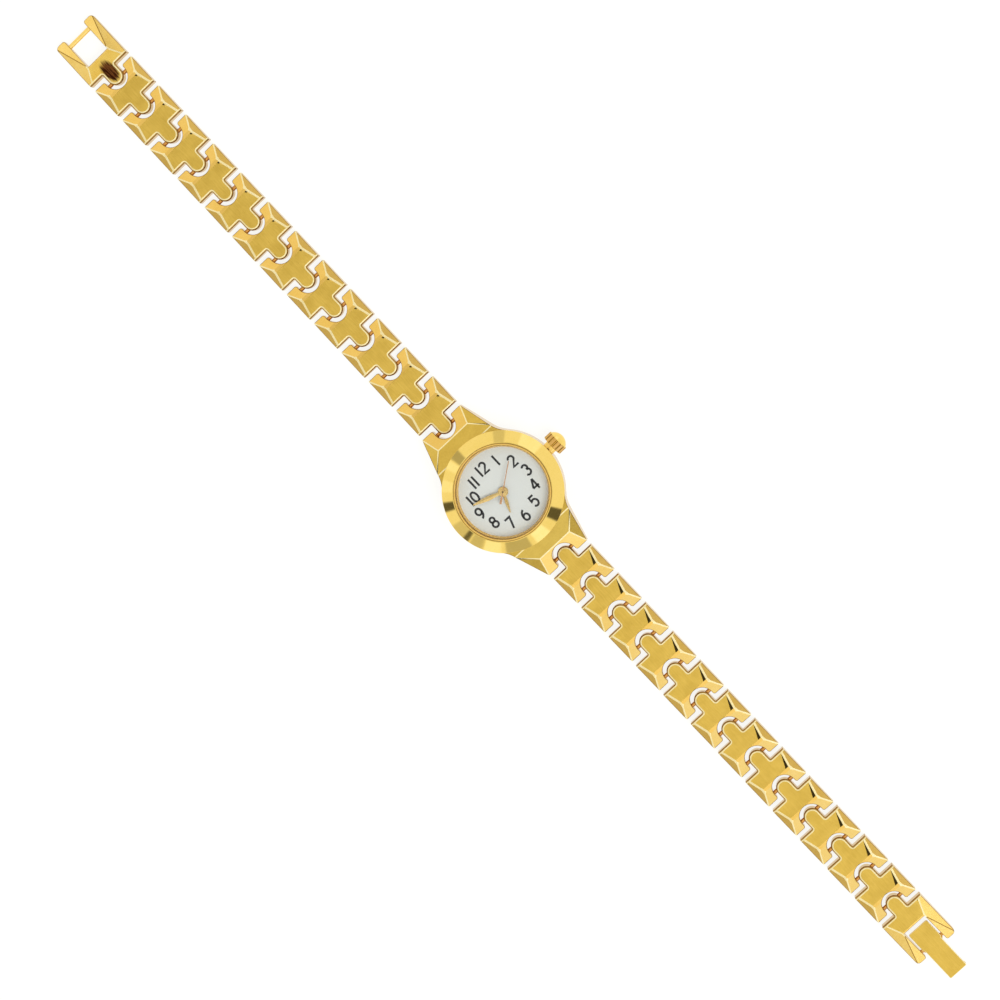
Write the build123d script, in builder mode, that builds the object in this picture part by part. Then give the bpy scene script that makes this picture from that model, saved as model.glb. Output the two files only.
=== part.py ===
from build123d import *
import os
from math import atan2, cos, degrees, hypot, radians, sin

# Ladies' bracelet watch in millimetres: a small round head on a strand of notched links each side.
# The origin is the head's centre on the plane that the case back and all the links lie on.
# +Z goes up through the dial, +Y to twelve o'clock and +X to the crown.

os.makedirs("parts", exist_ok=True)

# Bracelet: driving dimensions
links_per_strand = 12
link_width = 7.6
link_body = 5.2
link_thickness = 2.0
link_gap = 0.8
tongue_length = 2.7
tongue_width = 2.65
notch_depth = 2.55
notch_width = 3.7
mouth_radius = 0.35
edge_bevel = 0.15
pin_radius = 0.3
pin_height = 0.95
pin_behind_tip = 0.93
pin_inset = 0.1
running_clearance = 0.04
fine_sides = 8

# Facets on the top of a link: the flat top runs from its shoulders in to a corner each side
flat_half_width = 3.34
flat_corner_across = 2.6
flat_corner_along = 2.85
ear_drop = 0.6

# End links and clasp
frame_link_length = 7.9
frame_window_start = 2.4
frame_window_width = 4.1
frame_arm_drop = 0.8
bar_radius = 0.35
bar_behind_end = 1.3
bar_height = 0.9
hook_link_length = 7.95
hook_window_start = 2.9
hook_window_width = 4.2
hook_arm_drop = 0.8
hook_pin_behind_end = 1.15
arm_end_radius = 0.6
tongue_plate_gap = 0.7
tongue_plate_outer = 5.85
tongue_plate_width = 3.2
tongue_plate_wide = 3.6
tongue_plate_thickness = 0.4
barrel_radius = 0.55
recess_depth = 1.0
recess_wall = 0.7
recess_side_room = 0.3

# Head: driving dimensions, from the movement outward
movement_radius = 6.75
ring_wall = 0.85
case_wall = 1.6
case_foot_inset = 0.45
case_foot_rise = 0.8
case_back_thickness = 0.6
middle_height = 4.0
neck_wall = 0.7
neck_height = 0.65
lug_reach = 4.7
lug_half_width = 3.9
lug_side_slope_share = 0.283
lug_flow_radius = 5.0
lug_underside = 0.15
lug_end_height = 2.1
lug_corner_across = 3.0
lug_corner_back = 2.8
lug_corner_height = 3.8
lug_crease_across = 5.1
lug_crease_back = 4.9
lug_crease_height = 4.42
lug_rise_back = 2.9
lug_rise_length = 2.7
bezel_overhang = 0.33
bezel_land = 0.25
bezel_rise = 1.6
bezel_lip = 0.18
ledge_width = 0.32
ledge_thickness = 0.25
crystal_gap = 0.2
crystal_thickness = 0.8
crystal_bevel = 0.12
inner_ring_slope = 0.25
inner_ring_slack = 0.1
dial_edge_gap = 0.25
dial_thickness = 0.3
dial_sink = 0.1
back_flange_inset = 0.4
back_rim_height = 0.5
back_rim_wall = 0.5
back_edge = 0.25
gasket_width = 0.3
gasket_thickness = 0.35
fit_slack = 0.05

# Crown and stem
stem_below_plate = 0.6
crown_radius = 1.7
crown_standoff = 0.65
crown_band = 1.35
crown_dome = 0.85
crown_flutes = 16
crown_flute_depth = 0.16
crown_recess_depth = 0.55
tube_radius = 0.975
tube_reach_in = 0.1
tube_reach_out = 0.35
stem_radius = 0.35
stem_reach = 3.15
stem_in_crown = 0.6

groove_radius_share = 0.6

# Movement: plate, bridge and the fine parts that they carry
plate_thickness = 0.85
plate_recess_depth = 0.5
plate_recess_room = 0.2
bridge_level = 1.6
bridge_thickness = 0.25
bridge_inset = 1.95
wheel_thickness = 0.1
mesh_gap = 0.05
pivot_radius = 0.12
pinion_face = 0.2
hour_pipe_radius = 0.55
cannon_radius = 0.35
second_arbor_radius = 0.15
pillar_insets = (0.65, 0.8, 0.5)
pillar_directions = (35, -49, 86)
pillar_radius = 0.45
screw_radius = 0.2
screw_head_radius = 0.38
screw_head = 0.25
screw_reach = 0.9
bearing_length = 0.9
bearing_half_width = 0.7

# Gear train: radii of wheels and pinions, and where each arbor stands from the one before it
second_wheel_radius = 1.9
second_pinion_radius = 0.35
third_wheel_radius = 1.7
third_pinion_radius = 0.3
fifth_wheel_radius = 1.5
fifth_pinion_radius = 0.3
rotor_pinion_radius = 0.25
rotor_radius = 0.7
rotor_height = 0.5
hour_wheel_radius = 1.5
minute_pinion_radius = 0.4
third_direction = 60
fifth_direction = 125
rotor_turn = 150
minute_direction = 250

# Battery, motor and circuit
battery_edge_room = 0.15
battery_centre_room = 0.8
battery_height = 1.6
battery_direction = 225
clip_width = 1.2
clip_length = 5.4
clip_thickness = 0.15
stator_thickness = 0.4
stator_half_width = 1.15
stator_half_length = 2.2
stator_foot = 0.45
coil_radius = 0.55
coil_inset = 1.05
cheek_thickness = 0.2
board_thickness = 0.2
board_start = 1.2
can_radius = 0.5
can_length = 3.0
can_direction = -50
can_inset = 0.95

# Hands, as they stand at 6:48:09
hour_hand_length = 3.3
minute_hand_length = 4.9
second_hand_length = 4.7
second_hand_tail = 1.85
hand_thickness = 0.1
hour_hand_half = 0.26
minute_hand_half = 0.36
second_hand_half = 0.08
hour_hub_radius = 0.77
minute_hub_radius = 0.65
second_hub_radius = 0.35
counterweight_share = 0.5
time_hours = 6
time_minutes = 48
time_seconds = 9

# How near a corner or an edge has to lie to be picked, and how far a cut runs past what it cuts
pick = 0.01
overrun = 1.0

# Values that follow from the ones above
tongue_radius = tongue_width / 2
notch_radius = notch_width / 2
link_pitch = link_body + link_gap
pin_to_shoulder = tongue_length - pin_behind_tip
ear_pin_at = link_pitch - pin_to_shoulder
tongue_bore = pin_radius + running_clearance
case_bore = movement_radius + ring_wall
case_radius = case_bore + case_wall
case_foot_radius = case_radius - case_foot_inset
back_flange_radius = case_foot_radius - back_flange_inset
neck_radius = case_bore + neck_wall
lug_end = case_radius + lug_reach
lug_corner_along = lug_end - lug_corner_back
lug_crease_along = lug_end - lug_crease_back
lug_rise_end = lug_end - lug_rise_back
lug_rise_start = lug_rise_end - lug_rise_length
first_shoulder = lug_end + link_gap
bezel_seat = case_back_thickness + middle_height
neck_top = bezel_seat + neck_height
bezel_opening = case_bore - bezel_overhang
ledge_opening = bezel_opening - ledge_width
dial_opening = ledge_opening - inner_ring_slope
dial_radius = case_bore - dial_edge_gap
crystal_seat = neck_top + ledge_thickness
bezel_top = bezel_seat + bezel_rise
crystal_radius = bezel_opening - crystal_gap
dial_top = bezel_seat - dial_sink
movement_top = dial_top - dial_thickness
movement_bottom = case_back_thickness + back_rim_height
plate_bottom = movement_top - plate_thickness
bridge_radius = movement_radius - bridge_inset
crown_height = plate_bottom - stem_below_plate
crown_start = case_radius + crown_standoff
stem_start = movement_radius - stem_reach


def export_piece(shape, name):
    """Label a finished piece and write it as one file."""
    shape.label = name
    export_step(shape, f"parts/{name}.step")


def export_group(shapes, name):
    """Write separate solids that belong to one sub-part as one file."""
    export_piece(Compound(children=list(shapes)), name)


def polar(distance, angle):
    """A point in plan, by its distance from the centre and its angle from +X."""
    return (distance * cos(radians(angle)), distance * sin(radians(angle)))


# Shapes that the links and the lugs share
def tongue_outline():
    """Round-ended tongue that reaches back from the shoulders at y = 0."""
    straight = tongue_length - tongue_radius
    with Locations((0, -straight / 2)):
        Rectangle(tongue_width, straight)
    with Locations((0, -straight)):
        Circle(tongue_radius)


def notch_outline(mouth, outward):
    """Round-bottomed notch that a neighbour's tongue lies in, open towards outward."""
    straight = notch_depth - notch_radius
    with Locations((0, mouth - outward * straight / 2)):
        Rectangle(notch_width, straight, mode=Mode.SUBTRACT)
    with Locations((0, mouth - outward * straight)):
        Circle(notch_radius, mode=Mode.SUBTRACT)


def corners_at(sketch, across, along):
    """The corners of a plan that lie at this distance from its middle line and this far along it."""
    return [
        v
        for v in sketch.vertices()
        if abs(abs(v.X) - across) < pick and abs(v.Y - along) < pick
    ]


def facet_plane(a, b, c):
    """The plane through three points of a facet, facing up."""
    normal = (Vector(b) - Vector(a)).cross(Vector(c) - Vector(a))
    return Plane(origin=a, z_dir=normal if normal.Z > 0 else -normal)


def cut_facets(corner_across, corner_along, end, drop):
    """Slope a link's ears down to their ends and its sides outward, in three flat facets."""
    top = link_thickness
    corner = (corner_across, corner_along, top)
    shoulder = (flat_half_width, 0, top)
    ear = (link_width / 2, end, top - drop)
    middle = (-corner_across, corner_along, top)
    split(bisect_by=facet_plane(corner, middle, (0, end, top - drop)), keep=Keep.BOTTOM)
    for side in (1, -1):
        points = [(side * x, y, z) for x, y, z in (shoulder, corner, ear)]
        split(bisect_by=facet_plane(*points), keep=Keep.BOTTOM)


def fine_round(radius, mode=Mode.ADD):
    """A fine pin or pivot, drawn with eight flats inside its circle to keep what repeats light."""
    RegularPolygon(radius, fine_sides, mode=mode)


def fine_bore(radius, mode=Mode.SUBTRACT):
    """A running bore round a fine pin: its eight flats lie outside its circle."""
    RegularPolygon(radius, fine_sides, major_radius=False, mode=mode)


def cut_cross_bore(along, height, shape, radius):
    """Bore across the bracelet, for a pin."""
    with BuildSketch(Plane.YZ) as bore:
        with Locations((along, height)):
            shape(radius, mode=Mode.ADD)
    extrude(bore.sketch, amount=link_width, both=True, mode=Mode.SUBTRACT)


def shoulder_edges(block):
    """The upper edges of the shoulders and the tongue, which carry a thin polished bevel."""
    flat = block.faces().sort_by(Axis.Z)[-1]
    return [e for e in flat.edges() if e.center().Y < pick]


def cross_pin(along, height, shape, radius, width):
    """A straight pin across the bracelet."""
    with BuildPart() as pin:
        with BuildSketch(Plane.YZ.offset(-width / 2)):
            with Locations((along, height)):
                shape(radius)
        extrude(amount=width)
    return pin.part


def strand_seat(side, shoulder):
    """Where a link stands: side is 1 for the twelve o'clock strand and -1 for the six o'clock one."""
    return Location(Plane(origin=(0, side * shoulder, 0), x_dir=(side, 0, 0), z_dir=(0, 0, 1)))


strands = {"upper": 1, "lower": -1}


# Links: a tongue towards the head, two ears away from it, and the pin pressed across the ears
with BuildPart() as link:
    with BuildSketch() as link_plan:
        with Locations((0, link_body / 2)):
            Rectangle(link_width, link_body)
        tongue_outline()
        notch_outline(link_body, 1)
        fillet(corners_at(link_plan, notch_radius, link_body), mouth_radius)
    extrude(amount=link_thickness)
    cut_facets(flat_corner_across, flat_corner_along, link_body, ear_drop)
    chamfer(shoulder_edges(link), edge_bevel)
    cut_cross_bore(-pin_to_shoulder, pin_height, fine_bore, tongue_bore)
    with BuildSketch(Plane.YZ.offset(-notch_radius - mouth_radius)):
        with Locations((ear_pin_at, pin_height)):
            Circle(pin_radius)
    extrude(amount=notch_width + 2 * mouth_radius)

for strand, side in strands.items():
    for number in range(links_per_strand):
        seat = strand_seat(side, first_shoulder + number * link_pitch)
        export_piece(seat * link.part, f"{strand}_link_{number + 1:02d}")

end_shoulder = first_shoulder + links_per_strand * link_pitch


# Frame link at the twelve o'clock end: an open frame with a round bar across its end
with BuildPart() as frame_link:
    with BuildSketch() as frame_plan:
        with Locations((0, frame_link_length / 2)):
            Rectangle(link_width, frame_link_length)
        tongue_outline()
        with Locations((0, (frame_window_start + frame_link_length) / 2)):
            Rectangle(
                frame_window_width,
                frame_link_length - frame_window_start,
                mode=Mode.SUBTRACT,
            )
        fillet(corners_at(frame_plan, link_width / 2, frame_link_length), arm_end_radius)
        fillet(corners_at(frame_plan, frame_window_width / 2, frame_link_length), mouth_radius)
    extrude(amount=link_thickness)
    cut_facets(frame_window_width / 2, frame_window_start, frame_link_length, frame_arm_drop)
    chamfer(shoulder_edges(frame_link), edge_bevel)
    cut_cross_bore(-pin_to_shoulder, pin_height, fine_bore, tongue_bore)
    cut_cross_bore(frame_link_length - bar_behind_end, bar_height, Circle, bar_radius)

clasp_bar = cross_pin(
    frame_link_length - bar_behind_end, bar_height, Circle, bar_radius, link_width - 2 * pin_inset
)
frame_seat = strand_seat(strands["upper"], end_shoulder)
export_group([frame_seat * frame_link.part, frame_seat * clasp_bar], "frame_link")


# Hook link at the six o'clock end: two arms that carry the folding tongue on a cross pin
hook_pin_at = hook_link_length - hook_pin_behind_end
tongue_plate_inner = hook_pin_at - hook_window_start - tongue_plate_gap
with BuildPart() as hook_link:
    with BuildSketch() as hook_plan:
        with Locations((0, hook_link_length / 2)):
            Rectangle(link_width, hook_link_length)
        tongue_outline()
        with Locations((0, (hook_window_start + hook_link_length) / 2)):
            Rectangle(
                hook_window_width,
                hook_link_length - hook_window_start,
                mode=Mode.SUBTRACT,
            )
        fillet(corners_at(hook_plan, link_width / 2, hook_link_length), arm_end_radius)
        fillet(corners_at(hook_plan, hook_window_width / 2, hook_link_length), mouth_radius)
    extrude(amount=link_thickness)
    cut_facets(hook_window_width / 2, hook_window_start, hook_link_length, hook_arm_drop)
    chamfer(shoulder_edges(hook_link), edge_bevel)
    # recess under the shoulders, for the lip of the folded tongue
    with BuildSketch() as recess_plan:
        with Locations((0, (recess_wall + hook_window_start) / 2)):
            Rectangle(tongue_plate_width + 2 * recess_side_room, hook_window_start - recess_wall)
    extrude(amount=recess_depth, mode=Mode.SUBTRACT)
    cut_cross_bore(-pin_to_shoulder, pin_height, fine_bore, tongue_bore)
    cut_cross_bore(hook_pin_at, pin_height, Circle, pin_radius)

hook_pin = cross_pin(hook_pin_at, pin_height, Circle, pin_radius, link_width - 2 * pin_inset)
hook_seat = strand_seat(strands["lower"], end_shoulder)
export_group([hook_seat * hook_link.part, hook_seat * hook_pin], "hook_link")


# Folding tongue of the clasp: a flat plate with a barrel on its pin and a lip at its tip
plate_top = pin_height + barrel_radius
plate_under = plate_top - tongue_plate_thickness
tip_at = hook_pin_at + tongue_plate_outer
with BuildPart() as clasp_tongue:
    with BuildSketch(Plane.XY.offset(plate_under)):
        with Locations((0, hook_pin_at - tongue_plate_inner / 2)):
            Rectangle(tongue_plate_wide, tongue_plate_inner)
        with Locations((0, hook_pin_at + tongue_plate_outer / 2)):
            Rectangle(tongue_plate_width, tongue_plate_outer)
    extrude(amount=tongue_plate_thickness)
    with BuildSketch(Plane.YZ.offset(-tongue_plate_wide / 2)):
        with Locations((hook_pin_at, pin_height)):
            Circle(barrel_radius)
    extrude(amount=tongue_plate_wide)
    with BuildSketch():
        with Locations((0, tip_at - tongue_plate_thickness / 2)):
            Rectangle(tongue_plate_width, tongue_plate_thickness)
    extrude(amount=plate_top)
    tip_edges = [e for e in clasp_tongue.edges().filter_by(Axis.X) if abs(e.center().Y - tip_at) < pick]
    fillet(ShapeList(tip_edges).sort_by(Axis.Z)[-1], tongue_plate_thickness / 2)
    cut_cross_bore(hook_pin_at, pin_height, fine_bore, tongue_bore)
export_piece(hook_seat * clasp_tongue.part, "clasp_tongue")


# Case: the middle ring with its two pairs of lugs, notched like the links
lug_root_half = lug_half_width + lug_side_slope_share * lug_end
with BuildPart() as case:
    with BuildSketch(Plane.XY.offset(lug_underside)) as case_plan:
        Circle(case_radius)
        for side in (1, -1):
            with BuildLine():
                Polyline(
                    (-lug_root_half, 0),
                    (-lug_half_width, side * lug_end),
                    (lug_half_width, side * lug_end),
                    (lug_root_half, 0),
                    close=True,
                )
            make_face()
        where_lugs_leave = [
            v for v in case_plan.vertices() if abs(hypot(v.X, v.Y) - case_radius) < pick
        ]
        fillet(where_lugs_leave, lug_flow_radius)
        for side in (1, -1):
            notch_outline(side * lug_end, side)
            fillet(corners_at(case_plan, notch_radius, side * lug_end), mouth_radius)
    extrude(amount=bezel_seat - lug_underside)
    # side view of the lugs: they fall from the bezel to their ends and rise clear underneath
    plateau_fall = (lug_crease_height - lug_corner_height) / (lug_corner_along - lug_crease_along)
    plateau_start = lug_corner_along - (bezel_seat - lug_corner_height) / plateau_fall
    with BuildSketch(Plane.YZ) as lug_profile:
        with BuildLine():
            Polyline(
                (0, bezel_seat),
                (plateau_start, bezel_seat),
                (lug_corner_along, lug_corner_height),
                (lug_end, lug_end_height),
                (lug_end, lug_underside),
                (lug_rise_end, lug_underside),
                (lug_rise_start, case_back_thickness),
                (0, case_back_thickness),
                close=True,
            )
        make_face()
        mirror(about=Plane.YZ)
    extrude(amount=case_radius, both=True, mode=Mode.INTERSECT)
    for side in (1, -1):
        for end in (1, -1):
            split(
                bisect_by=facet_plane(
                    (side * lug_corner_across, end * lug_corner_along, lug_corner_height),
                    (side * lug_crease_across, end * lug_crease_along, lug_crease_height),
                    (side * lug_half_width, end * lug_end, lug_end_height),
                ),
                keep=Keep.BOTTOM,
            )
    # round middle with a turned-in foot and the neck that the bezel is pressed on
    with BuildSketch(Plane.XZ):
        with BuildLine():
            Polyline(
                (case_bore, case_back_thickness),
                (case_foot_radius, case_back_thickness),
                (case_radius, case_back_thickness + case_foot_rise),
                (case_radius, bezel_seat),
                (neck_radius, bezel_seat),
                (neck_radius, neck_top),
                (case_bore, neck_top),
                close=True,
            )
        make_face()
    revolve(axis=Axis.Z)
    with BuildSketch():
        Circle(case_bore)
    extrude(amount=bezel_top, mode=Mode.SUBTRACT)
    # bores for the lug pins and the crown tube
    lug_pin_at = first_shoulder - pin_to_shoulder
    with BuildSketch(Plane.YZ):
        for side in (1, -1):
            with Locations((side * lug_pin_at, pin_height)):
                Circle(pin_radius)
    extrude(amount=case_radius, both=True, mode=Mode.SUBTRACT)
    with BuildSketch(Plane.YZ):
        with Locations((0, crown_height)):
            Circle(tube_radius)
    extrude(amount=case_radius + overrun, mode=Mode.SUBTRACT)
export_piece(case.part, "case")

lug_pin_length = 2 * lug_half_width - 2 * pin_inset
export_group(
    [
        cross_pin(side * lug_pin_at, pin_height, Circle, pin_radius, lug_pin_length)
        for side in (1, -1)
    ],
    "lug_pins",
)


# Bezel: a polished cone, pressed over the case's neck, with the ledge that the crystal sits on
with BuildPart() as bezel:
    with BuildSketch(Plane.XZ):
        with BuildLine():
            Polyline(
                (case_radius, bezel_seat),
                (case_radius, bezel_seat + bezel_land),
                (bezel_opening + bezel_lip, bezel_top),
                (bezel_opening, bezel_top),
                (bezel_opening, crystal_seat),
                (ledge_opening, crystal_seat),
                (ledge_opening, neck_top),
                (neck_radius, neck_top),
                (neck_radius, bezel_seat),
                close=True,
            )
        make_face()
    revolve(axis=Axis.Z)
export_piece(bezel.part, "bezel")


# Crystal and the gasket round it
with BuildPart() as crystal:
    with BuildSketch(Plane.XY.offset(crystal_seat)):
        Circle(crystal_radius)
    extrude(amount=crystal_thickness)
    chamfer(crystal.edges().group_by(Axis.Z)[-1], crystal_bevel)
export_piece(crystal.part, "crystal")

with BuildPart() as crystal_gasket:
    with BuildSketch(Plane.XY.offset(crystal_seat)):
        Circle(bezel_opening)
        Circle(crystal_radius, mode=Mode.SUBTRACT)
    extrude(amount=bezel_top - crystal_seat)
export_piece(crystal_gasket.part, "crystal_gasket")


# Inner ring: the gilt slope between the crystal's ledge and the dial
with BuildPart() as inner_ring:
    with BuildSketch(Plane.XZ):
        with BuildLine():
            Polyline(
                (dial_opening, dial_top),
                (case_bore - inner_ring_slack, dial_top),
                (case_bore - inner_ring_slack, neck_top),
                (ledge_opening, neck_top),
                close=True,
            )
        make_face()
    revolve(axis=Axis.Z)
export_piece(inner_ring.part, "inner_ring")


# Dial
dial_hole = hour_pipe_radius + 2 * mesh_gap
with BuildPart() as dial:
    with BuildSketch(Plane.XY.offset(movement_top)):
        Circle(dial_radius)
        fine_bore(dial_hole)
    extrude(amount=dial_thickness)
export_piece(dial.part, "dial")


# Case back: a snap-on plate with a rim, and the gasket between that rim and the case's bore
rim_radius = case_bore - gasket_width
with BuildPart() as case_back:
    with BuildSketch(Plane.XZ):
        with BuildLine():
            Polyline(
                (0, 0),
                (back_flange_radius - back_edge, 0),
                (back_flange_radius, back_edge),
                (back_flange_radius, case_back_thickness),
                (rim_radius, case_back_thickness),
                (rim_radius, movement_bottom),
                (rim_radius - back_rim_wall, movement_bottom),
                (rim_radius - back_rim_wall, case_back_thickness),
                (0, case_back_thickness),
                close=True,
            )
        make_face()
    revolve(axis=Axis.Z)
export_piece(case_back.part, "case_back")

with BuildPart() as case_back_gasket:
    with BuildSketch(Plane.XY.offset(case_back_thickness)):
        Circle(case_bore)
        Circle(rim_radius, mode=Mode.SUBTRACT)
    extrude(amount=gasket_thickness)
export_piece(case_back_gasket.part, "case_back_gasket")


# Crown tube in the case's flank, with the small ring that seals the stem
tube_start = case_bore + tube_reach_in
tube_end = crown_start + tube_reach_out
stem_bore = stem_radius + running_clearance
seal_radius = (tube_radius + stem_bore) / 2
seal_length = tube_reach_out
with BuildPart() as crown_tube:
    with BuildSketch(Plane.YZ.offset(tube_start)):
        with Locations((0, crown_height)):
            Circle(tube_radius)
            fine_bore(stem_bore)
    extrude(amount=tube_end - tube_start)
    with BuildSketch(Plane.YZ.offset(tube_end)):
        with Locations((0, crown_height)):
            Circle(seal_radius)
    extrude(amount=-seal_length, mode=Mode.SUBTRACT)
export_piece(crown_tube.part, "crown_tube")

with BuildPart() as crown_gasket:
    with BuildSketch(Plane.YZ.offset(tube_end)):
        with Locations((0, crown_height)):
            Circle(seal_radius)
            fine_bore(stem_bore)
    extrude(amount=-seal_length)
export_piece(crown_gasket.part, "crown_gasket")


# Crown: a fluted band with a domed end, hollow where it slips over the tube
crown_band_end = crown_start + crown_band
crown_plane = Plane(origin=(0, 0, crown_height), x_dir=(1, 0, 0), z_dir=(0, -1, 0))
crown_axis = Axis((0, 0, crown_height), (1, 0, 0))
dome_foot = crown_radius - crown_flute_depth
dome_sphere = (dome_foot**2 + crown_dome**2) / (2 * crown_dome)
dome_centre = crown_band_end + crown_dome - dome_sphere
dome_half_angle = atan2(dome_foot, dome_sphere - crown_dome) / 2
with BuildPart() as crown:
    with BuildSketch(Plane.YZ.offset(crown_start)):
        with Locations((0, crown_height)):
            Circle(crown_radius)
        with Locations((0, crown_height)):
            with PolarLocations(crown_radius, crown_flutes):
                Rectangle(2 * crown_flute_depth, 2 * crown_flute_depth, rotation=45, mode=Mode.SUBTRACT)
    extrude(amount=crown_band)
    with BuildSketch(crown_plane):
        with BuildLine():
            Line((crown_band_end, 0), (crown_band_end, dome_foot))
            ThreePointArc(
                (crown_band_end, dome_foot),
                (
                    dome_centre + dome_sphere * cos(dome_half_angle),
                    dome_sphere * sin(dome_half_angle),
                ),
                (crown_band_end + crown_dome, 0),
            )
            Line((crown_band_end + crown_dome, 0), (crown_band_end, 0))
        make_face()
    revolve(axis=crown_axis)
    with BuildSketch(Plane.YZ.offset(crown_start)):
        with Locations((0, crown_height)):
            Circle(tube_radius + fit_slack)
    extrude(amount=crown_recess_depth, mode=Mode.SUBTRACT)
    with BuildSketch(Plane.YZ.offset(crown_start)):
        with Locations((0, crown_height)):
            fine_round(stem_radius)
    extrude(amount=crown_recess_depth + stem_in_crown, mode=Mode.SUBTRACT)
export_piece(crown.part, "crown")


# Stem, with the groove that the setting lever holds it by
groove_radius = stem_radius * groove_radius_share
groove_at = (stem_start + movement_radius) / 2 + stem_radius
groove_width = stem_radius
with BuildPart() as stem:
    with BuildSketch(Plane.YZ.offset(stem_start)):
        with Locations((0, crown_height)):
            fine_round(stem_radius)
    extrude(amount=crown_start + crown_recess_depth + stem_in_crown - stem_start)
    with BuildSketch(Plane.YZ.offset(groove_at)):
        with Locations((0, crown_height)):
            fine_round(stem_radius + overrun)
            fine_round(groove_radius, mode=Mode.SUBTRACT)
    extrude(amount=groove_width, mode=Mode.SUBTRACT)
export_piece(stem.part, "stem")

# Setting lever: the small plate in that groove, which moves out and in with the crown
lever_thickness = groove_width - 2 * mesh_gap
lever_half_height = stem_below_plate - mesh_gap
with BuildPart() as setting_lever:
    with BuildSketch(Plane.YZ.offset(groove_at + mesh_gap)):
        with Locations((0, crown_height)):
            Rectangle(2 * stem_radius + 2 * lever_half_height, 2 * lever_half_height)
            fine_bore(groove_radius + running_clearance)
    extrude(amount=lever_thickness)
export_piece(setting_lever.part, "setting_lever")


# Movement ring: the moulded spacer between the movement and the case
with BuildPart() as movement_ring:
    with BuildSketch(Plane.XY.offset(movement_bottom)):
        Circle(case_bore - fit_slack)
        Circle(movement_radius + fit_slack, mode=Mode.SUBTRACT)
    extrude(amount=movement_top - movement_bottom)
    with BuildSketch(Plane.YZ):
        with Locations((0, crown_height)):
            fine_bore(stem_radius + 2 * fit_slack, mode=Mode.ADD)
    extrude(amount=case_bore, mode=Mode.SUBTRACT)
export_piece(movement_ring.part, "movement_ring")


# Gear train: levels and centres, each pair of wheel and pinion a small gap apart
wheel_step = wheel_thickness + 3 * mesh_gap
centre_level = plate_bottom - wheel_step
second_level = centre_level - wheel_step
fifth_level = second_level - wheel_step
third_level = fifth_level - wheel_step
pivot_low = bridge_level + mesh_gap
pivot_high = plate_bottom + mesh_gap
recess_floor = movement_top - plate_recess_depth
cannon_level = recess_floor + mesh_gap
hour_level = cannon_level + wheel_step

third_distance = second_pinion_radius + third_wheel_radius + mesh_gap
centre_wheel_radius = third_distance - third_pinion_radius - mesh_gap
fifth_distance = second_wheel_radius + fifth_pinion_radius + mesh_gap
minute_distance = hour_wheel_radius + minute_pinion_radius + mesh_gap
minute_wheel_radius = minute_distance - hour_pipe_radius - mesh_gap
rotor_distance = fifth_wheel_radius + rotor_pinion_radius + mesh_gap
plate_recess_radius = minute_distance + minute_wheel_radius + plate_recess_room

third_centre = polar(third_distance, third_direction)
fifth_centre = polar(fifth_distance, fifth_direction)
rotor_centre = tuple(
    a + b for a, b in zip(fifth_centre, polar(rotor_distance, rotor_turn), strict=True)
)
minute_centre = polar(minute_distance, minute_direction)
rotor_angle = degrees(atan2(rotor_centre[1], rotor_centre[0]))
rotor_from_centre = hypot(*rotor_centre)

# Levels of the hands and of the pipes that carry them
hour_hand_level = dial_top + 2 * hand_thickness
minute_hand_level = hour_hand_level + hand_thickness + 3 * mesh_gap
second_hand_level = minute_hand_level + hand_thickness + 3 * mesh_gap


def turned(centre, steps, bore=0):
    """A wheel with its pinion and arbor: each step is a shape, its radius and its two levels."""
    with BuildPart() as piece:
        for shape, radius, low, high in steps:
            with BuildSketch(Plane.XY.offset(low)):
                with Locations(centre):
                    shape(radius)
                    if bore:
                        fine_bore(bore)
            extrude(amount=high - low)
    return piece.part


export_piece(
    turned(
        (0, 0),
        [
            (fine_round, second_arbor_radius, pivot_low, second_hand_level + hand_thickness),
            (fine_round, second_pinion_radius, third_level - mesh_gap, third_level + pinion_face - mesh_gap),
            (Circle, second_wheel_radius, second_level, second_level + wheel_thickness),
        ],
    ),
    "second_wheel",
)
export_piece(
    turned(
        (0, 0),
        [
            (fine_round, cannon_radius, centre_level, minute_hand_level + hand_thickness),
            (Circle, centre_wheel_radius, centre_level, centre_level + wheel_thickness),
            (fine_round, hour_pipe_radius, cannon_level, cannon_level + wheel_thickness),
        ],
        bore=second_arbor_radius + running_clearance,
    ),
    "centre_wheel",
)
export_piece(
    turned(
        (0, 0),
        [
            (fine_round, hour_pipe_radius, hour_level, hour_hand_level + hand_thickness),
            (Circle, hour_wheel_radius, hour_level, hour_level + wheel_thickness),
        ],
        bore=cannon_radius + running_clearance,
    ),
    "hour_wheel",
)
export_piece(
    turned(
        third_centre,
        [
            (fine_round, pivot_radius, pivot_low, pivot_high),
            (Circle, third_wheel_radius, third_level, third_level + wheel_thickness),
            (fine_round, third_pinion_radius, centre_level - mesh_gap, centre_level + pinion_face - mesh_gap),
        ],
    ),
    "third_wheel",
)
export_piece(
    turned(
        fifth_centre,
        [
            (fine_round, pivot_radius, pivot_low, pivot_high),
            (Circle, fifth_wheel_radius, fifth_level, fifth_level + wheel_thickness),
            (fine_round, fifth_pinion_radius, second_level - mesh_gap, second_level + pinion_face - mesh_gap),
        ],
    ),
    "fifth_wheel",
)
rotor_low = bridge_level + bridge_thickness + 3 * mesh_gap
export_piece(
    turned(
        rotor_centre,
        [
            (fine_round, pivot_radius, pivot_low, pivot_high),
            (Circle, rotor_radius, rotor_low, rotor_low + rotor_height),
            (fine_round, rotor_pinion_radius, fifth_level - mesh_gap, fifth_level + pinion_face - mesh_gap),
        ],
    ),
    "rotor",
)
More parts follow.
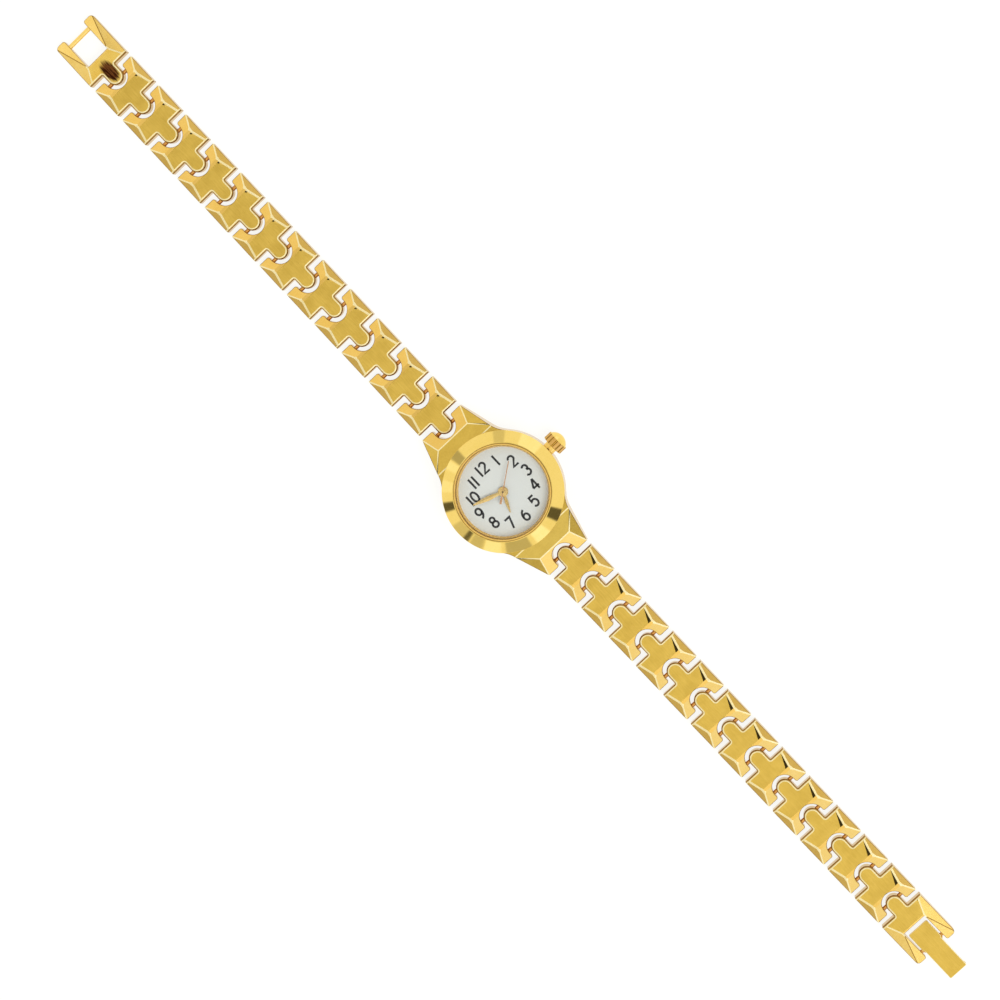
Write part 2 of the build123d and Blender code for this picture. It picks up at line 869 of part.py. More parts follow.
export_piece(
    turned(
        minute_centre,
        [
            (fine_round, pivot_radius, recess_floor - 3 * mesh_gap, hour_level + pinion_face - mesh_gap),
            (Circle, minute_wheel_radius, cannon_level, cannon_level + wheel_thickness),
            (fine_round, minute_pinion_radius, hour_level - mesh_gap, hour_level + pinion_face - mesh_gap),
        ],
    ),
    "minute_wheel",
)


# Bridge screws and the pillars that they go into
pillar_places = [
    polar(bridge_radius - inset, direction)
    for inset, direction in zip(pillar_insets, pillar_directions, strict=True)
]
pivot_bore = pivot_radius + running_clearance
bridge_top = bridge_level + bridge_thickness

# Main plate: the movement's carrier, with the dial-side recess, pillars and the stem's bearing
bearing_start = stem_start + stem_radius / 2
with BuildPart() as main_plate:
    with BuildSketch(Plane.XY.offset(plate_bottom)):
        Circle(movement_radius)
    extrude(amount=plate_thickness)
    with BuildSketch(Plane.XY.offset(recess_floor)):
        Circle(plate_recess_radius)
    extrude(amount=plate_recess_depth, mode=Mode.SUBTRACT)
    with BuildSketch(Plane.XY.offset(bridge_top)):
        with Locations(*pillar_places):
            fine_round(pillar_radius)
    extrude(amount=plate_bottom - bridge_top)
    with BuildSketch(Plane.XY.offset(crown_height - stem_radius - 2 * mesh_gap)):
        with Locations((bearing_start + bearing_length / 2, 0)):
            Rectangle(bearing_length, 2 * bearing_half_width)
    extrude(amount=stem_below_plate + stem_radius + 2 * mesh_gap)
    with BuildSketch(Plane.YZ.offset(stem_start)):
        with Locations((0, crown_height)):
            fine_bore(stem_bore, mode=Mode.ADD)
    extrude(amount=2 * bearing_length, mode=Mode.SUBTRACT)
    with BuildSketch(Plane.XY.offset(bridge_top)):
        with Locations(*pillar_places):
            fine_round(screw_radius)
    extrude(amount=screw_reach, mode=Mode.SUBTRACT)
    with BuildSketch(Plane.XY.offset(plate_bottom)):
        fine_bore(cannon_radius + running_clearance, mode=Mode.ADD)
    extrude(amount=plate_thickness, mode=Mode.SUBTRACT)
    with BuildSketch(Plane.XY.offset(plate_bottom)):
        with Locations(third_centre, fifth_centre, rotor_centre):
            fine_bore(pivot_bore, mode=Mode.ADD)
    extrude(amount=3 * mesh_gap, mode=Mode.SUBTRACT)
    with BuildSketch(Plane.XY.offset(recess_floor)):
        with Locations(minute_centre):
            fine_bore(pivot_bore, mode=Mode.ADD)
    extrude(amount=-4 * mesh_gap, mode=Mode.SUBTRACT)
export_piece(main_plate.part, "main_plate")

# Battery, its clip, and the bridge that the train's lower pivots run in
battery_radius = (movement_radius - battery_edge_room - battery_centre_room) / 2
battery_centre = polar(battery_centre_room + battery_radius, battery_direction)
export_piece(
    turned(battery_centre, [(Circle, battery_radius, movement_bottom, movement_bottom + battery_height)]),
    "battery",
)
with BuildPart() as battery_clip:
    with BuildSketch(Plane.XY.offset(movement_bottom - clip_thickness)):
        with Locations(Location(battery_centre + (0,), battery_direction)):
            Rectangle(clip_length, clip_width)
    extrude(amount=clip_thickness)
export_piece(battery_clip.part, "battery_clip")

with BuildPart() as train_bridge:
    with BuildSketch(Plane.XY.offset(bridge_level)):
        Circle(bridge_radius)
        with Locations(battery_centre):
            Circle(battery_radius + 3 * mesh_gap, mode=Mode.SUBTRACT)
        with Locations(third_centre, fifth_centre, rotor_centre):
            fine_bore(pivot_bore)
        fine_bore(second_arbor_radius + running_clearance)
        with Locations(*pillar_places):
            fine_round(screw_radius, mode=Mode.SUBTRACT)
    extrude(amount=bridge_thickness)
export_piece(train_bridge.part, "train_bridge")

export_group(
    [
        turned(
            place,
            [
                (fine_round, screw_head_radius, bridge_level - screw_head, bridge_level),
                (fine_round, screw_radius, bridge_level, bridge_top + screw_reach),
            ],
        )
        for place in pillar_places
    ],
    "bridge_screws",
)

# Stator and coil, square to the line from the centre to the rotor
coil_from_centre = movement_radius - coil_inset
stator_hole = rotor_radius + 2 * mesh_gap
stator_level = rotor_low + mesh_gap
motor_plane = Plane(
    origin=(0, 0, stator_level), x_dir=polar(1, rotor_angle) + (0,), z_dir=(0, 0, 1)
)
foot_end = coil_from_centre + coil_radius / 2
foot_start = rotor_from_centre + stator_half_width
with BuildPart() as stator:
    with BuildSketch(motor_plane):
        with Locations((rotor_from_centre, 0)):
            Rectangle(2 * stator_half_width, 2 * stator_half_length)
            Circle(stator_hole, mode=Mode.SUBTRACT)
        for side in (1, -1):
            with Locations(
                ((foot_start + foot_end) / 2, side * (stator_half_length - stator_foot / 2))
            ):
                Rectangle(foot_end - foot_start, stator_foot)
    extrude(amount=stator_thickness)
export_piece(stator.part, "stator")

coil_half = stator_half_length - stator_foot
coil_axis_height = stator_level + stator_thickness / 2
coil_centre = polar(coil_from_centre, rotor_angle) + (coil_axis_height,)
across = polar(1, rotor_angle + 90) + (0,)
with BuildPart() as coil:
    coil_base = Plane(origin=coil_centre, x_dir=(0, 0, 1), z_dir=across)
    with BuildSketch(coil_base.offset(-coil_half)):
        Circle(coil_radius)
    extrude(amount=2 * coil_half)
    with BuildSketch(coil_base.offset(-coil_half), coil_base.offset(coil_half - cheek_thickness)):
        Rectangle(2 * coil_radius, 2 * coil_radius)
    extrude(amount=cheek_thickness)
export_piece(coil.part, "coil")

# Circuit board: a crescent beside the bridge, with the quartz can soldered on
with BuildPart() as circuit_board:
    with BuildSketch(Plane.XY.offset(bridge_level)):
        Circle(movement_radius)
        Circle(bridge_radius + 3 * mesh_gap, mode=Mode.SUBTRACT)
        with Locations((board_start - movement_radius, 0)):
            Rectangle(2 * movement_radius, 2 * movement_radius, mode=Mode.SUBTRACT)
    extrude(amount=board_thickness)
can_height = bridge_level + board_thickness + can_radius
can_centre = polar(movement_radius - can_inset, can_direction) + (can_height,)
with BuildPart() as quartz_can:
    can_base = Plane(origin=can_centre, x_dir=(0, 0, 1), z_dir=polar(1, can_direction + 90) + (0,))
    with BuildSketch(can_base.offset(-can_length / 2)):
        Circle(can_radius)
    extrude(amount=can_length)
export_group([circuit_board.part, quartz_can.part], "circuit_board")


# Hands: flat leaves on round hubs, pressed on the pipes
def hand_plane(level, turn):
    """A plane at this level whose +Y points where a hand points, in degrees clockwise from twelve."""
    return Plane(
        origin=(0, 0, level),
        x_dir=(cos(radians(turn)), -sin(radians(turn)), 0),
        z_dir=(0, 0, 1),
    )


def leaf_hand(level, turn, length, half_width, hub, bore):
    """A hand that widens to a third of its length and narrows to its tip."""
    with BuildPart() as hand:
        with BuildSketch(hand_plane(level, turn)):
            with BuildLine():
                Polyline(
                    (-half_width / 2, 0),
                    (-half_width, length / 2),
                    (-half_width / 3, length),
                    (half_width / 3, length),
                    (half_width, length / 2),
                    (half_width / 2, 0),
                    close=True,
                )
            make_face()
            Circle(hub)
        extrude(amount=hand_thickness)
        with BuildSketch(Plane.XY.offset(level)):
            fine_round(bore)
        extrude(amount=hand_thickness, mode=Mode.SUBTRACT)
    return hand.part


second_turn = time_seconds * 6
minute_turn = (time_minutes + time_seconds / 60) * 6
hour_turn = (time_hours + time_minutes / 60) * 30
export_piece(
    leaf_hand(
        hour_hand_level, hour_turn, hour_hand_length, hour_hand_half,
        hour_hub_radius, hour_pipe_radius,
    ),
    "hour_hand",
)
export_piece(
    leaf_hand(
        minute_hand_level, minute_turn, minute_hand_length, minute_hand_half,
        minute_hub_radius, cannon_radius,
    ),
    "minute_hand",
)
with BuildPart() as second_hand:
    with BuildSketch(hand_plane(second_hand_level, second_turn)):
        with Locations((0, (second_hand_length - second_hand_tail) / 2)):
            Rectangle(2 * second_hand_half, second_hand_length + second_hand_tail)
        counterweight = second_hand_tail * counterweight_share
        with Locations((0, counterweight / 2 - second_hand_tail)):
            Rectangle(4 * second_hand_half, counterweight)
        Circle(second_hub_radius)
    extrude(amount=hand_thickness)
    with BuildSketch(Plane.XY.offset(second_hand_level)):
        fine_round(second_arbor_radius)
    extrude(amount=hand_thickness, mode=Mode.SUBTRACT)
export_piece(second_hand.part, "second_hand")

print("length over the open bracelet", round(2 * end_shoulder + frame_link_length + tip_at, 1))
print("height over the crystal", round(crystal_seat + crystal_thickness, 2))
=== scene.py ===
# %% [markdown]
# This lesson dresses a ladies' bracelet watch: a small round gilt head, two strands of notched
# links and a fold-over clasp, laid out open on a white table. The CAD model is loaded first. Its
# solids give every size and carry the motion, and each visible piece is built again here with the
# rounded edges and the finishes that catch the light on the real watch.

# %% Load the frame
import math

import bmesh
import bpy
from mathutils import Matrix, Vector


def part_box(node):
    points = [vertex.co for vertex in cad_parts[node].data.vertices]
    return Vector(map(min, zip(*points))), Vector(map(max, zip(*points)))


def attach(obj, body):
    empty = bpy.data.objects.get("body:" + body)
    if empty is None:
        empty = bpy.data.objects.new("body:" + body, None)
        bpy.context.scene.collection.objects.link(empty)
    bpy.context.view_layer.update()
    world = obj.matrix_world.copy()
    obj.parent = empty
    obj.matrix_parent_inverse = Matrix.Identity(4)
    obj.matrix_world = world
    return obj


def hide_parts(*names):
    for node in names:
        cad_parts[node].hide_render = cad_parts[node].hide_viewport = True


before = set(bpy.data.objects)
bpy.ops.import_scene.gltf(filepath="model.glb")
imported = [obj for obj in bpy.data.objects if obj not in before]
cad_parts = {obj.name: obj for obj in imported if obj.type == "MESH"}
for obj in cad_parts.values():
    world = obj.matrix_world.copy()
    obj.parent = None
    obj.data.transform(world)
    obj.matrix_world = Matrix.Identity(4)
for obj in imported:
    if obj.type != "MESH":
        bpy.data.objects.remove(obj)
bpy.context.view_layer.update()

MM = 0.001

# %% [markdown]
# Materials are written as sums. A small class wraps a node's output, so that `1 - mask` or
# `noise * 0.2 + 0.3` adds the Math nodes by itself. Anything that isn't a sum comes from one
# method that takes a node's type, its settings and what goes into its sockets. A Mix node keeps
# its colour sockets behind those for numbers and vectors, so these have their places by number.

# %% Nodes as sums
MIX_FIRST, MIX_SECOND, MIX_RESULT = 6, 7, 2


class Wire:
    """One output of a node. Sums on it add Math nodes."""

    def __init__(self, bench, socket):
        self.bench = bench
        self.socket = socket

    def maths(self, operation, *values):
        return self.bench.node("ShaderNodeMath", {"operation": operation}, dict(enumerate(values)))

    def __add__(self, other):
        return self.maths("ADD", self, other)

    __radd__ = __add__

    def __sub__(self, other):
        return self.maths("SUBTRACT", self, other)

    def __rsub__(self, other):
        return self.maths("SUBTRACT", other, self)

    def __mul__(self, other):
        return self.maths("MULTIPLY", self, other)

    __rmul__ = __mul__

    def __truediv__(self, other):
        return self.maths("DIVIDE", self, other)

    def __rtruediv__(self, other):
        return self.maths("DIVIDE", other, self)

    def size(self):
        """The value without its sign."""
        return self.maths("ABSOLUTE", self)

    def root(self):
        """The square root."""
        return self.maths("SQRT", self)

    def larger(self, other):
        return self.maths("MAXIMUM", self, other)

    def rise(self, low, high):
        """0 below low, 1 above high and a smooth step between them."""
        return self.bench.node(
            "ShaderNodeMapRange",
            {"interpolation_type": "SMOOTHSTEP"},
            {"Value": self, "From Min": low, "From Max": high},
        )


class Bench:
    """The nodes of one finish, or of the world."""

    def __init__(self, owner):
        owner.use_nodes = True
        self.tree = owner.node_tree
        self.tree.nodes.clear()

    def node(self, kind, settings=None, sockets=None, out=0):
        """A node with its settings made first, then its sockets filled by name or by number."""
        made = self.tree.nodes.new(kind)
        for name, value in (settings or {}).items():
            setattr(made, name, value)
        for name, value in (sockets or {}).items():
            if isinstance(value, Wire):
                self.tree.links.new(value.socket, made.inputs[name])
            elif made.inputs[name].type == "RGBA":
                made.inputs[name].default_value = (*value, 1)
            else:
                made.inputs[name].default_value = value
        return Wire(self, made.outputs[out]) if made.outputs else made

    def mix(self, share, first, second):
        """The first colour where the share is 0 and the second where it is 1."""
        sockets = {0: share, MIX_FIRST: first, MIX_SECOND: second}
        return self.node("ShaderNodeMix", {"data_type": "RGBA"}, sockets, out=MIX_RESULT)

    def parts(self, vector):
        """The three numbers of a vector."""
        split = self.node("ShaderNodeSeparateXYZ", sockets={0: vector}).socket.node
        return [Wire(self, split.outputs[axis]) for axis in "XYZ"]


print("socket class ready")

# %% [markdown]
# All patterns are measured in millimetres on the piece itself, so grain has the same size on a
# link and on the case. The helpers below give that place, a soft cloud and a brushed grain, which
# is a cloud drawn out along one direction. The noise keeps to the middle of its range, so patches
# spreads it out to the whole of 0 to 1.

# %% Place, cloud and grain
NOISE_LOW, NOISE_HIGH = 0.3, 0.7


def place_on_piece(bench, stretch=(1, 1, 1)):
    """The point on the piece in millimetres, divided by how far the pattern is drawn out."""
    here = bench.node("ShaderNodeTexCoord", out="Object")
    return bench.node(
        "ShaderNodeVectorMath",
        {"operation": "MULTIPLY"},
        {0: here, 1: tuple(1 / MM / s for s in stretch)},
    )


def cloud(bench, grain_size, stretch=(1, 1, 1), detail=3):
    """Soft noise whose lumps are about grain_size millimetres wide."""
    place = place_on_piece(bench, stretch)
    return bench.node(
        "ShaderNodeTexNoise", sockets={"Vector": place, "Scale": 1 / grain_size, "Detail": detail}
    )


def patches(noise):
    """Noise spread out from its own range to the whole of 0 to 1."""
    return noise.rise(NOISE_LOW, NOISE_HIGH)


def new_finish(name):
    """A new material and the bench for its nodes."""
    material = bpy.data.materials.new(name)
    return material, Bench(material)


def close_finish(bench, surface):
    """Lead the surface to the material's output."""
    bench.node("ShaderNodeOutputMaterial", sockets={"Surface": surface})


def bumped(bench, height, depth):
    """A normal that follows a height pattern of this depth in millimetres."""
    return bench.node(
        "ShaderNodeBump", sockets={"Height": height, "Strength": 1.0, "Distance": depth * MM}
    )


print("pattern helpers ready")

# %% [markdown]
# Gilt metal on such a watch is steel or brass with a thin layer of gold. One function makes all
# the golds. Half of the tone drifts in wide clouds and half follows the grain, which also changes
# the roughness and lifts the surface a little. A full metal only mirrors the room, so the golds
# that have to look pale in its shade are less metallic and keep a part of their own colour as
# painted light.

# %% How a gold is made
TONE_SIZE = 2.2
GRAIN_GAIN, GRAIN_START = 1.6, 0.2


def gold_finish(
    name, deep, light, smooth, rough, stretch=(1, 1, 1), grain_size=0.3, depth=0.0006, metallic=1.0
):
    """A gold that runs from a deep to a light tone and from a smooth to a rough grain."""
    material, bench = new_finish(name)
    grain = cloud(bench, grain_size, stretch, detail=4)
    tone = patches(cloud(bench, TONE_SIZE)) * 0.5 + patches(grain) * 0.5
    swing = rough - smooth
    metal = bench.node(
        "ShaderNodeBsdfPrincipled",
        sockets={
            "Base Color": bench.mix(tone, deep, light),
            "Metallic": metallic,
            "Roughness": grain * swing * GRAIN_GAIN + (smooth - GRAIN_START * swing),
            "Normal": bumped(bench, grain, depth),
        },
    )
    close_finish(bench, metal)
    return material


print("gold function ready")

# %% [markdown]
# The flat tops of the links are brushed to a satin along the strand, so their grain is drawn out
# 14 times in that direction, and the facets round them are polished. Every crease is burnished,
# and its paler line is a painted highlight. The rounded rims below take a deep brown gold, a
# painted reflection of the gap beside them, and the walls and pins take a redder gold as painted
# shade. The lugs are satin without a direction. On the end links' arms a paler, less metallic gold
# is a painted highlight.

# %% Golds of the bracelet
along_strand = (1, 14, 1)
satin_gold = gold_finish(
    "satin_gold", (0.72, 0.47, 0.078), (0.89, 0.60, 0.115), 0.25, 0.36, along_strand, 0.12, 0.0014
)
lug_satin = gold_finish("lug_satin", (0.64, 0.42, 0.07), (0.74, 0.50, 0.09), 0.26, 0.36)
polished_gold = gold_finish("polished_gold", (0.84, 0.53, 0.11), (0.90, 0.59, 0.15), 0.10, 0.17)
mirror_gold = gold_finish("mirror_gold", (0.88, 0.58, 0.14), (0.90, 0.60, 0.15), 0.04, 0.06)
# Paler and less metallic than the polished gold: a painted highlight on the end links' arms.
arm_painted_highlight = gold_finish(
    "arm_painted_highlight", (0.90, 0.59, 0.13), (0.97, 0.69, 0.20), 0.1, 0.16, depth=0.0002, metallic=0.72
)
# Pale and part diffuse: the burnished creases' paler line is a painted highlight.
burnished_edge_highlight = gold_finish(
    "burnished_edge_highlight", (0.92, 0.76, 0.36), (0.97, 0.83, 0.45), 0.28, 0.4, metallic=0.6
)
# Deep brown: a painted reflection of the dark gap that the rounded rims mirror, and painted shade
# in creases and on the bezel's lip.
rim_painted_shade = gold_finish("rim_painted_shade", (0.36, 0.19, 0.035), (0.46, 0.26, 0.05), 0.25, 0.35)
# Darker and redder: painted shade on the walls.
wall_painted_shade = gold_finish("wall_painted_shade", (0.62, 0.37, 0.07), (0.72, 0.46, 0.11), 0.12, 0.2)
# Redder and darker: painted shade on the pins in the gaps.
pin_painted_shade = gold_finish("pin_painted_shade", (0.62, 0.28, 0.06), (0.72, 0.36, 0.09), 0.12, 0.2)
print("bracelet golds made")

# %% [markdown]
# The bezel has the highest polish of all and the palest yellow. The crown's fluted band is redder,
# a painted reflection of its valleys mirroring each other. The hands are a dull light gold, the
# second hand is a rose gold, and the ring round the dial is less metallic and keeps its own colour
# as painted light, so that it shows in the shade of the crystal. The wheels inside are plain brass.

# %% Golds of the head
bezel_gold = gold_finish("bezel_gold", (0.91, 0.65, 0.16), (0.95, 0.69, 0.19), 0.05, 0.08)
# Redder: a painted reflection of the flutes mirroring each other.
crown_gold_painted_reflection = gold_finish("crown_gold_painted_reflection", (0.66, 0.36, 0.09), (0.76, 0.44, 0.12), 0.12, 0.2)
# Part diffuse so that it stays bright: painted light in the crystal's shade.
ring_gold_painted_light = gold_finish(
    "ring_gold_painted_light", (0.82, 0.49, 0.10), (0.90, 0.58, 0.16), 0.2, 0.3, metallic=0.6
)
hand_gold = gold_finish("hand_gold", (0.80, 0.54, 0.19), (0.88, 0.63, 0.26), 0.22, 0.30)
second_gold = gold_finish("second_gold", (0.62, 0.33, 0.17), (0.70, 0.40, 0.22), 0.22, 0.30)
wheel_brass = gold_finish("wheel_brass", (0.62, 0.45, 0.17), (0.72, 0.54, 0.24), 0.20, 0.32)
print("head golds made")

# %% [markdown]
# The dial is a lacquered silver-white plate: not pure white, with a very fine grain. Its printing
# is a matt black ink. The same kind of coat, in other tones, stands for the seals' rubber, the
# movement's mouldings and the green board.

# %% Lacquer, ink and mouldings
LACQUER_SWING = 0.12


def lacquer_finish(name, deep, light, rough, grain_size, depth):
    """A coat or moulding with a fine grain, of about this roughness."""
    material, bench = new_finish(name)
    grain = cloud(bench, grain_size)
    coat = bench.node(
        "ShaderNodeBsdfPrincipled",
        sockets={
            "Base Color": bench.mix(patches(grain), deep, light),
            "Roughness": grain * LACQUER_SWING + (rough - LACQUER_SWING / 2),
            "Normal": bumped(bench, grain, depth),
        },
    )
    close_finish(bench, coat)
    return material


dial_white = lacquer_finish(
    "dial_white", (0.603, 0.612, 0.584), (0.64, 0.65, 0.622), 0.42, 0.06, 0.0006
)
dial_ink = lacquer_finish(
    "dial_ink", (0.004, 0.004, 0.005), (0.009, 0.009, 0.009), 0.6, 0.05, 0.001
)
seal_rubber = lacquer_finish("seal", (0.018, 0.018, 0.02), (0.035, 0.034, 0.036), 0.62, 0.08, 0.004)
clear_seal = lacquer_finish("clear_seal", (0.60, 0.36, 0.06), (0.70, 0.45, 0.10), 0.3, 0.15, 0.001)
moulding = lacquer_finish("moulding", (0.55, 0.54, 0.50), (0.62, 0.61, 0.57), 0.5, 0.12, 0.003)
board_green = lacquer_finish("board", (0.02, 0.10, 0.05), (0.04, 0.16, 0.08), 0.4, 0.5, 0.002)
print("lacquers made")

# %% [markdown]
# The crystal is flat mineral glass. A solid glass shader would keep the lamps off the dial, so the
# glass lets light straight through and adds a mirror that grows at the glancing angles. Only its
# outside mirrors. The rays aren't bent on their way in, so from within they would meet the glass
# at angles that throw them back and forth, and the dial would look marbled.

# %% Crystal finish
MIRROR_SHARE = 0.6
smear_size, clean_rough, smear_rough = 3.0, 0.015, 0.01
crystal_glass, bench = new_finish("crystal")
clear = bench.node("ShaderNodeBsdfTransparent", sockets={"Color": (0.985, 0.99, 0.985)})
smear = cloud(bench, smear_size).rise(0.35, 0.75)
mirror = bench.node(
    "ShaderNodeBsdfGlossy",
    sockets={"Color": (1, 1, 1), "Roughness": smear * smear_rough + clean_rough},
)
glance = bench.node("ShaderNodeFresnel", sockets={"IOR": 1.45})
outside = 1 - bench.node("ShaderNodeNewGeometry", out="Backfacing")
mirrored_share = glance * outside * MIRROR_SHARE
close_finish(
    bench, bench.node("ShaderNodeMixShader", sockets={0: mirrored_share, 1: clear, 2: mirror})
)
print("crystal finish made")

# %% [markdown]
# The case back is stainless steel, turned on a lathe, so its fine lines run round the middle. A
# ring pattern needs only the distance from the middle, and noise along that one number gives the
# lines. The copper of the coil is wound wire, and takes the same lines a little further apart.

# %% Steel and copper
TURNED_DEPTH = 0.002


def ringed_finish(name, deep, light, smooth, rough, line):
    """Metal with fine turned lines round the piece's middle."""
    material, bench = new_finish(name)
    x, y, z = bench.parts(place_on_piece(bench))
    lines = bench.node(
        "ShaderNodeTexNoise",
        {"noise_dimensions": "1D"},
        {"W": (x * x + y * y).root(), "Scale": 1 / line, "Detail": 2},
    )
    metal = bench.node(
        "ShaderNodeBsdfPrincipled",
        sockets={
            "Base Color": bench.mix(patches(cloud(bench, 2.5)), deep, light),
            "Metallic": 1.0,
            "Roughness": lines * (rough - smooth) + smooth,
            "Normal": bumped(bench, lines, TURNED_DEPTH),
        },
    )
    close_finish(bench, metal)
    return material


steel = ringed_finish("steel", (0.52, 0.51, 0.49), (0.60, 0.59, 0.57), 0.18, 0.42, 0.05)
copper = ringed_finish("copper", (0.55, 0.24, 0.12), (0.66, 0.31, 0.17), 0.2, 0.4, 0.09)
print("steel and copper made")

# %% [markdown]
# Each piece starts as a plan outline with rounded corners, or as a profile that is turned round an
# axis, like work on a lathe. The outline is written as its corners, each with a radius. A
# round-ended tongue is then only two corners whose radius is half its width.

# %% Outlines
ARC_STEP = math.radians(5)
SAME_POINT = 1e-4


def rounded(corners, closed=True):
    """An outline from corners (x, y, radius)."""
    outline = []
    count = len(corners)
    for number, (x, y, radius) in enumerate(corners):
        here = Vector((x, y))
        ends = not closed and number in (0, count - 1)
        if ends or not radius:
            outline.append(here)
            continue
        before = (Vector(corners[number - 1][:2]) - here).normalized()
        after = (Vector(corners[(number + 1) % count][:2]) - here).normalized()
        turn = math.pi - before.angle(after)
        centre = here + (before + after).normalized() * radius / math.cos(turn / 2)
        first = here + before * radius * math.tan(turn / 2) - centre
        steps = max(2, math.ceil(turn / ARC_STEP))
        way = 1 if before.cross(after) < 0 else -1
        for step in range(steps + 1):
            angle = way * turn * step / steps
            spoke = Vector((
                first.x * math.cos(angle) - first.y * math.sin(angle),
                first.x * math.sin(angle) + first.y * math.cos(angle),
            ))
            outline.append(centre + spoke)
    tidy = []
    for point in outline:
        if not tidy or (point - tidy[-1]).length > SAME_POINT:
            tidy.append(point)
    if closed and (tidy[0] - tidy[-1]).length < SAME_POINT:
        tidy.pop()
    return tidy


def mirrored(half):
    """A whole outline from its right half, listed from the bottom up."""
    return list(half) + [(-x, y, radius) for x, y, radius in reversed(half) if x]


print("outline helpers ready")

# %% [markdown]
# Two ways make almost every solid here: an outline drawn up from the table, and a profile turned
# round the upright axis. Both are written in mesh code, so that each corner is where the CAD has
# it and the number of facets is chosen for the piece.

# %% Prisms and turned solids


def prism(outline, low, high):
    """A solid that stands on a plan outline."""
    shape = bmesh.new()
    floor = shape.faces.new([shape.verts.new((x, y, low)) for x, y in outline])
    raised = bmesh.ops.extrude_face_region(shape, geom=[floor])["geom"]
    tops = [v for v in raised if isinstance(v, bmesh.types.BMVert)]
    bmesh.ops.translate(shape, verts=tops, vec=(0, 0, high - low))
    bmesh.ops.recalc_face_normals(shape, faces=shape.faces)
    return shape


def turned(profile, steps=128, closed=True):
    """A solid turned round Z from a profile of (distance, height) points."""
    shape = bmesh.new()
    spokes = [2 * math.pi * n / steps for n in range(steps)]
    rings = []
    for distance, height in profile:
        if distance < 1e-6:
            rings.append([shape.verts.new((0, 0, height))] * steps)
            continue
        around = [(distance * math.cos(a), distance * math.sin(a), height) for a in spokes]
        rings.append([shape.verts.new(point) for point in around])
    pairs = list(zip(rings, rings[1:]))
    if closed:
        pairs.append((rings[-1], rings[0]))
    for ring, above in pairs:
        for n in range(steps):
            m = (n + 1) % steps
            corners = list(dict.fromkeys((ring[n], ring[m], above[m], above[n])))
            if len(corners) > 2:
                shape.faces.new(corners)
    bmesh.ops.recalc_face_normals(shape, faces=shape.faces)
    return shape


print("solid helpers ready")

# %% [markdown]
# The real facets are ground on a flat lap, and the same is done here: a plane cuts the solid and
# the hole is closed with a new flat face. A burnished crease is a second, very light cut square to
# the fold. A bevel would be the usual way, but it shrinks where creases meet at a point, and a
# plane can't. Only the rims, which turn by about a right angle, are rounded with a bevel.

# %% Grinding and softening
LEAST_CREASE, SQUARE_TURN, STEEP_TURN = 5, 50, 60
UPWARD = 0.6


def fold(edge):
    """How far the surface turns at an edge, in degrees."""
    return math.degrees(edge.calc_face_angle(0))


def square_edges(shape, turn=SQUARE_TURN):
    """The rims, where the surface turns further than at any crease."""
    return [edge for edge in shape.edges if fold(edge) > turn]


def grind(shape, point, normal):
    """Cut away what lies beyond a plane, and return the new faces that close the cut."""
    everything = shape.verts[:] + shape.edges[:] + shape.faces[:]
    cut = bmesh.ops.bisect_plane(
        shape, geom=everything, dist=1e-5, plane_co=point, plane_no=normal, clear_outer=True
    )
    edges = [e for e in cut["geom_cut"] if isinstance(e, bmesh.types.BMEdge) and e.is_boundary]
    closing = bmesh.ops.holes_fill(shape, edges=edges, sides=0)["faces"]
    bmesh.ops.recalc_face_normals(shape, faces=shape.faces)
    return closing


def shave(shape, a, b, c, keep_below=True):
    """Cut away what lies above the plane through three points, or what lies below it."""
    a, b, c = Vector(a), Vector(b), Vector(c)
    normal = (b - a).cross(c - a).normalized()
    upward = normal if normal.z > 0 else -normal
    return grind(shape, a, upward if keep_below else -upward)


def burnish(shape, chosen, width, finish):
    """Grind a narrow flat along each upward crease whose two normals are chosen."""
    found = {}
    for edge in shape.edges:
        first, second = (face.normal.copy() for face in edge.link_faces)
        is_crease = LEAST_CREASE < fold(edge) < SQUARE_TURN and min(first.z, second.z) > UPWARD
        if is_crease and chosen(first, second):
            square = (first + second).normalized()
            key = tuple(round(v, 2) for v in square)
            found[key] = (edge.verts[0].co.copy(), square, math.radians(fold(edge)))
    for point, square, turn in found.values():
        depth = width / 2 * math.tan(turn / 2)
        for face in grind(shape, point - square * depth, square):
            face.material_index = finish


def soften(shape, edges, width, steps, finish):
    """Round these edges. The new faces take the finish of this number."""
    if edges:
        bmesh.ops.bevel(
            shape, geom=edges, offset=width, segments=steps, profile=0.5,
            affect="EDGES", material=finish, clamp_overlap=False,
        )
        shape.normal_update()


print("grinding helpers ready")

# %% [markdown]
# A piece that is brazed or pressed together from several solids becomes one shape here. Each face
# keeps the number of its finish, so a link and its pin can differ.

# %% Joining and painting


def joined(*shapes):
    """One shape out of several."""
    whole = bmesh.new()
    for shape in shapes:
        mesh = bpy.data.meshes.new("part")
        shape.to_mesh(mesh)
        shape.free()
        whole.from_mesh(mesh)
        bpy.data.meshes.remove(mesh)
    return whole


def painted(shape, finish):
    """The same shape with all its faces in the finish of this number."""
    for face in shape.faces:
        face.material_index = finish
    return shape


print("joining helpers ready")

# %% [markdown]
# A finished shape becomes an object that stands for one or more CAD nodes and rides on their body.
# The vertices are written in the watch's own frame and the object stays at the origin. Smooth
# shading with sharp edges where the metal really turns, and normals weighted by face size, keep
# the facets flat while their rounded edges catch a highlight.

# %% Pieces
SHARP_TURN = math.radians(6)


